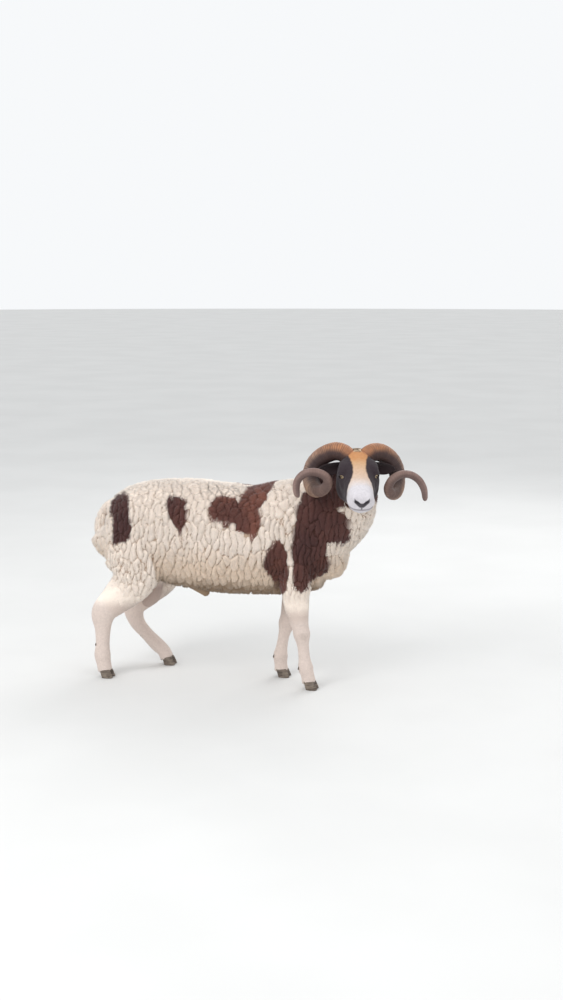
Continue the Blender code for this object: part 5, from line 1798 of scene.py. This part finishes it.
def skin_material(groups):
    """Short hair on face and legs, light wool under the locks with a painted shade in the cracks, and bare
    skin.
    """
    made, tree, shader = new_material("skin_and_short_hair", 0.8, Sheen_Weight=0.10, Specular_IOR_Level=0.25)
    coat, woolly, bare = attribute(tree, "coat", "Color"), attribute(tree, "woolly"), attribute(tree, "bare")
    given = {"Scale": SKIN_GRAIN, "Contrast": 0.35}
    grain = add_node(tree, "ShaderNodeGroup", given, node_tree=groups["grain"])
    short = mixed(tree, 1.0, coat, grain.outputs["Shade"], "MULTIPLY")
    # painted shade in the cracks between staples
    crack = mixed(tree, attribute(tree, "crack"), UNDER_WOOL, CRACK_SHADE)
    deep = mixed(tree, 1.0, coat, crack, "MULTIPLY")
    colour = mixed(tree, bare, mixed(tree, woolly, short, deep), coat)
    tree.links.new(colour, shader.inputs["Base Color"])
    tree.links.new(ranged(tree, bare, 0.0, 1.0, *SKIN_ROUGHNESS), shader.inputs["Roughness"])
    height = times(tree, grain.outputs["Height"], ranged(tree, bare, 0.0, 1.0, 1.0, 0.25))
    add_bump(tree, shader, height, *SKIN_BUMP)
    return made


def horn_material():
    """Orange-brown on the back of the arch, a painted shade inside the curl, greyer to the tip, pale on the
    crests with a painted shade in the grooves.
    """
    made, tree, shader = new_material("horn", 0.55, Specular_IOR_Level=0.35)
    along, inner, crest = (attribute(tree, name) for name in ("along", "inner", "crest"))
    ramp = add_node(tree, "ShaderNodeValToRGB", {0: along})
    while len(ramp.color_ramp.elements) < len(HORN_STOPS):
        ramp.color_ramp.elements.new(0.5)
    for element, (place, colour) in zip(ramp.color_ramp.elements, HORN_STOPS):
        element.position = place
        element.color = (*colour, 1.0)
    mottle = ranged(tree, noise_shade(tree, 55.0, 4.0), 0.34, 0.66)
    dull = mixed(tree, 0.42, ramp.outputs[0], HORN_MOTTLE)
    colour = mixed(tree, mottle, dull, ramp.outputs[0])
    # painted shade in the grooves, deeper away from the root
    groove = ranged(tree, crest, 0.16, 0.60)
    depth = ranged(tree, along, 0.10, 0.28, 0.50, 0.80)
    colour = mixed(tree, groove, mixed(tree, depth, colour, HORN_GROOVE_SHADE), colour)
    # painted shade on the side that faces into the curl, weaker along the hook
    shade = times(tree, ranged(tree, inner, 0.24, 0.62), ranged(tree, along, 0.38, 0.62, 0.92, 0.45))
    colour = mixed(tree, shade, colour, HORN_CURL_SHADE)
    tree.links.new(colour, shader.inputs["Base Color"])
    tree.links.new(ranged(tree, groove, 0.0, 1.0, *GROOVE_ROUGHNESS), shader.inputs["Roughness"])
    fibres = noise_shade(tree, 420.0, 3.0)
    add_bump(tree, shader, fibres, *HORN_BUMP)
    return made


def hoof_material():
    """Dark horn with paler bands that lie level, and a stain from the ground."""
    made, tree, shader = new_material("hoof_horn", 0.5, Specular_IOR_Level=0.4)
    bands = noise_shade(tree, 30.0, 4.0, (1.0, 1.0, 9.0))
    colour = mixed(tree, ranged(tree, bands, 0.3, 0.7), HOOF_DARK, HOOF_PALE)
    stain = ranged(tree, noise_shade(tree, 45.0), 0.45, 0.7)
    colour = mixed(tree, times(tree, stain, 0.5), colour, HOOF_STAIN)
    tree.links.new(colour, shader.inputs["Base Color"])
    tree.links.new(ranged(tree, bands, 0.3, 0.7, *HOOF_ROUGHNESS), shader.inputs["Roughness"])
    add_bump(tree, shader, bands, *HOOF_BUMP)
    return made


def eye_material():
    """A pale amber iris with a wide flat pupil, under a wet surface."""
    made, tree, shader = new_material("eye", 0.25, Coat_Weight=1.0, Coat_Roughness=0.03)
    gaze = attribute(tree, "gaze", "Vector")
    parts = add_node(tree, "ShaderNodeSeparateXYZ", {0: gaze})
    x, y = parts.outputs[0], parts.outputs[1]
    shares = [math_node(tree, "DIVIDE", value, size * GAZE_SCALE) for value, size in zip((x, y), PUPIL)]
    powers = [math_node(tree, "POWER", math_node(tree, "ABSOLUTE", share), 3.0) for share in shares]
    pupil = ranged(tree, plus(tree, *powers), 0.8, 1.25, 1.0, 0.0)
    squares = [math_node(tree, "POWER", value, 2.0) for value in (x, y)]
    radius = math_node(tree, "SQRT", plus(tree, *squares))
    streaks = add_node(tree, "ShaderNodeTexNoise", {"Vector": gaze, "Scale": 0.9, "Detail": 4.0})
    streaks = ranged(tree, streaks.outputs["Fac"], 0.35, 0.65)
    iris = mixed(tree, streaks, IRIS_BROWN, IRIS_AMBER)
    rim = ranged(tree, radius, IRIS_RADIUS * GAZE_SCALE * 0.80, IRIS_RADIUS * GAZE_SCALE)
    colour = mixed(tree, rim, iris, IRIS_RIM)
    colour = mixed(tree, pupil, colour, PUPIL_BLACK)
    tree.links.new(colour, shader.inputs["Base Color"])
    return made


def floor_material():
    """A plain pale floor, a little uneven."""
    made, tree, shader = new_material("studio_floor", 0.85)
    uneven = ranged(tree, noise_shade(tree, 1.4), 0.3, 0.7)
    colour = mixed(tree, uneven, *FLOOR_SHADES)
    tree.links.new(colour, shader.inputs["Base Color"])
    return made


# Studio


def area_light(name, place, size, power):
    """A round soft light that faces the model."""
    light = bpy.data.lights.new(name, "AREA")
    light.shape = "DISK"
    light.size = size
    light.energy = power
    obj = object_from(name, light)
    obj.location = place
    obj.rotation_euler = (LIGHT_TARGET - Vector(place)).to_track_quat("-Z", "Y").to_euler()


def studio():
    """The floor, the lights, the air round them and the photo's camera."""
    floor = object_from("studio_floor", bpy.data.meshes.new("studio_floor"))
    bm = bmesh.new()
    bmesh.ops.create_circle(bm, cap_ends=True, segments=96, radius=FLOOR_RADIUS)
    bm.to_mesh(floor.data)
    bm.free()
    floor.location.z = -0.0005
    floor.data.materials.append(floor_material())
    for name, place, size, power in LIGHTS:
        area_light(name, place, size, power)
    world = bpy.data.worlds.new("studio_air")
    world.use_nodes = True
    background = world.node_tree.nodes["Background"]
    background.inputs["Color"].default_value = (*AIR, 1.0)
    background.inputs["Strength"].default_value = AIR_STRENGTH
    bpy.context.scene.world = world
    camera = bpy.data.cameras.new("photo_view")
    camera.lens = CAMERA_LENS
    camera.sensor_width = 36.0
    obj = object_from("photo_view", camera)
    obj.location = Vector(CAMERA_PLACE) + ORIGIN_SHIFT
    obj.rotation_euler = (math.radians(90 - CAMERA_PITCH), 0.0, math.radians(CAMERA_TURN))
    bpy.context.scene.camera = obj
    bpy.context.scene.view_settings.view_transform = "Standard"


# The whole model


def dress(obj, nearest, seeds):
    """Gives a skin the same markings as its coat, and returns how much of each point is woolly or hairy."""
    mesh = obj.data
    points = mesh_points(mesh)
    rings = nearest.rings(points)
    along, up, out = in_head(points).T
    colours = coat_colours(points, rings, nearest)
    woolly = smooth_step(nearest.coat[rings], LEAST_FLEECE - 0.002, LEAST_FLEECE + 0.002)
    woolly *= 1 - on_ear(points)
    face = nearest.is_form(rings, "skull")
    lips = np.exp(-((up - MOUTH_RISE) / 0.0030) ** 2) * smooth_step(along, 0.19, 0.21)
    bare = np.maximum(nose_pad(along, up, out), lips) * face
    for side in SIDES:
        away = np.linalg.norm(points - np.array(eye_frame(side).translation), axis=1)
        rim = smooth_step(EYE_RADIUS + 0.0042 - away, 0.0, 0.0015)
        bare = np.maximum(bare, rim)
        colours = blend(colours, LID_DARK, rim)
    colours = blend(colours, LIP_GREY, lips * face * 0.8)
    add_values(mesh, "coat", colours)
    add_values(mesh, "woolly", woolly)
    # how much painted shade each crack between staples lays on the skin
    crack = 1 - smooth_step(staples(points, seeds)[2], CRACK[0], CRACK[1] * 0.8)
    add_values(mesh, "crack", parted(nearest.coat[rings]) * woolly * crack)
    add_values(mesh, "bare", bare)
    return woolly, (1 - woolly) * (1 - bare)


def main():
    """Builds the skin, the coat, the horns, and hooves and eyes."""
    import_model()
    rng = np.random.default_rng(SEED)
    forms = all_forms()
    nearest = Nearest(forms)
    groups = {"shade": coat_shade_group(), "grain": grain_group()}
    body, seeds = body_skin(forms, nearest, rng)
    head = head_skin(forms)
    ears = [ear(side) for side in SIDES]
    skin_trees = [tree_of(body), tree_of(head)]
    fleece = coat_material("fleece", *FLEECE_LOOK, groups)
    hair = coat_material("short_hair", *HAIR_LOOK, groups)
    horn_look, hoof_look, eye_look = horn_material(), hoof_material(), eye_material()
    horn_trees = [tree_of(horn(side, horn_look), -ORIGIN_SHIFT) for side in SIDES]
    for foot in FEET:
        for inner in (False, True):
            claw(foot, inner, hoof_look)
    dewclaws(hoof_look)
    for side in SIDES:
        eye(side, eye_look)
    skin = joined("skin", [body, head] + ears)
    woolly, hairy = dress(skin, nearest, seeds)
    blockers = [(tree, -BLOCKED, False) for tree in skin_trees]
    blockers += [(tree, BLOCKED, True) for tree in horn_trees]
    grow_fleece(skin.data, woolly, nearest, seeds, blockers, fleece, rng)
    grow_hair(skin.data, hairy, nearest, blockers, hair, rng)
    finish_piece(skin, skin_material(groups), *FLESH)
    studio()


main()
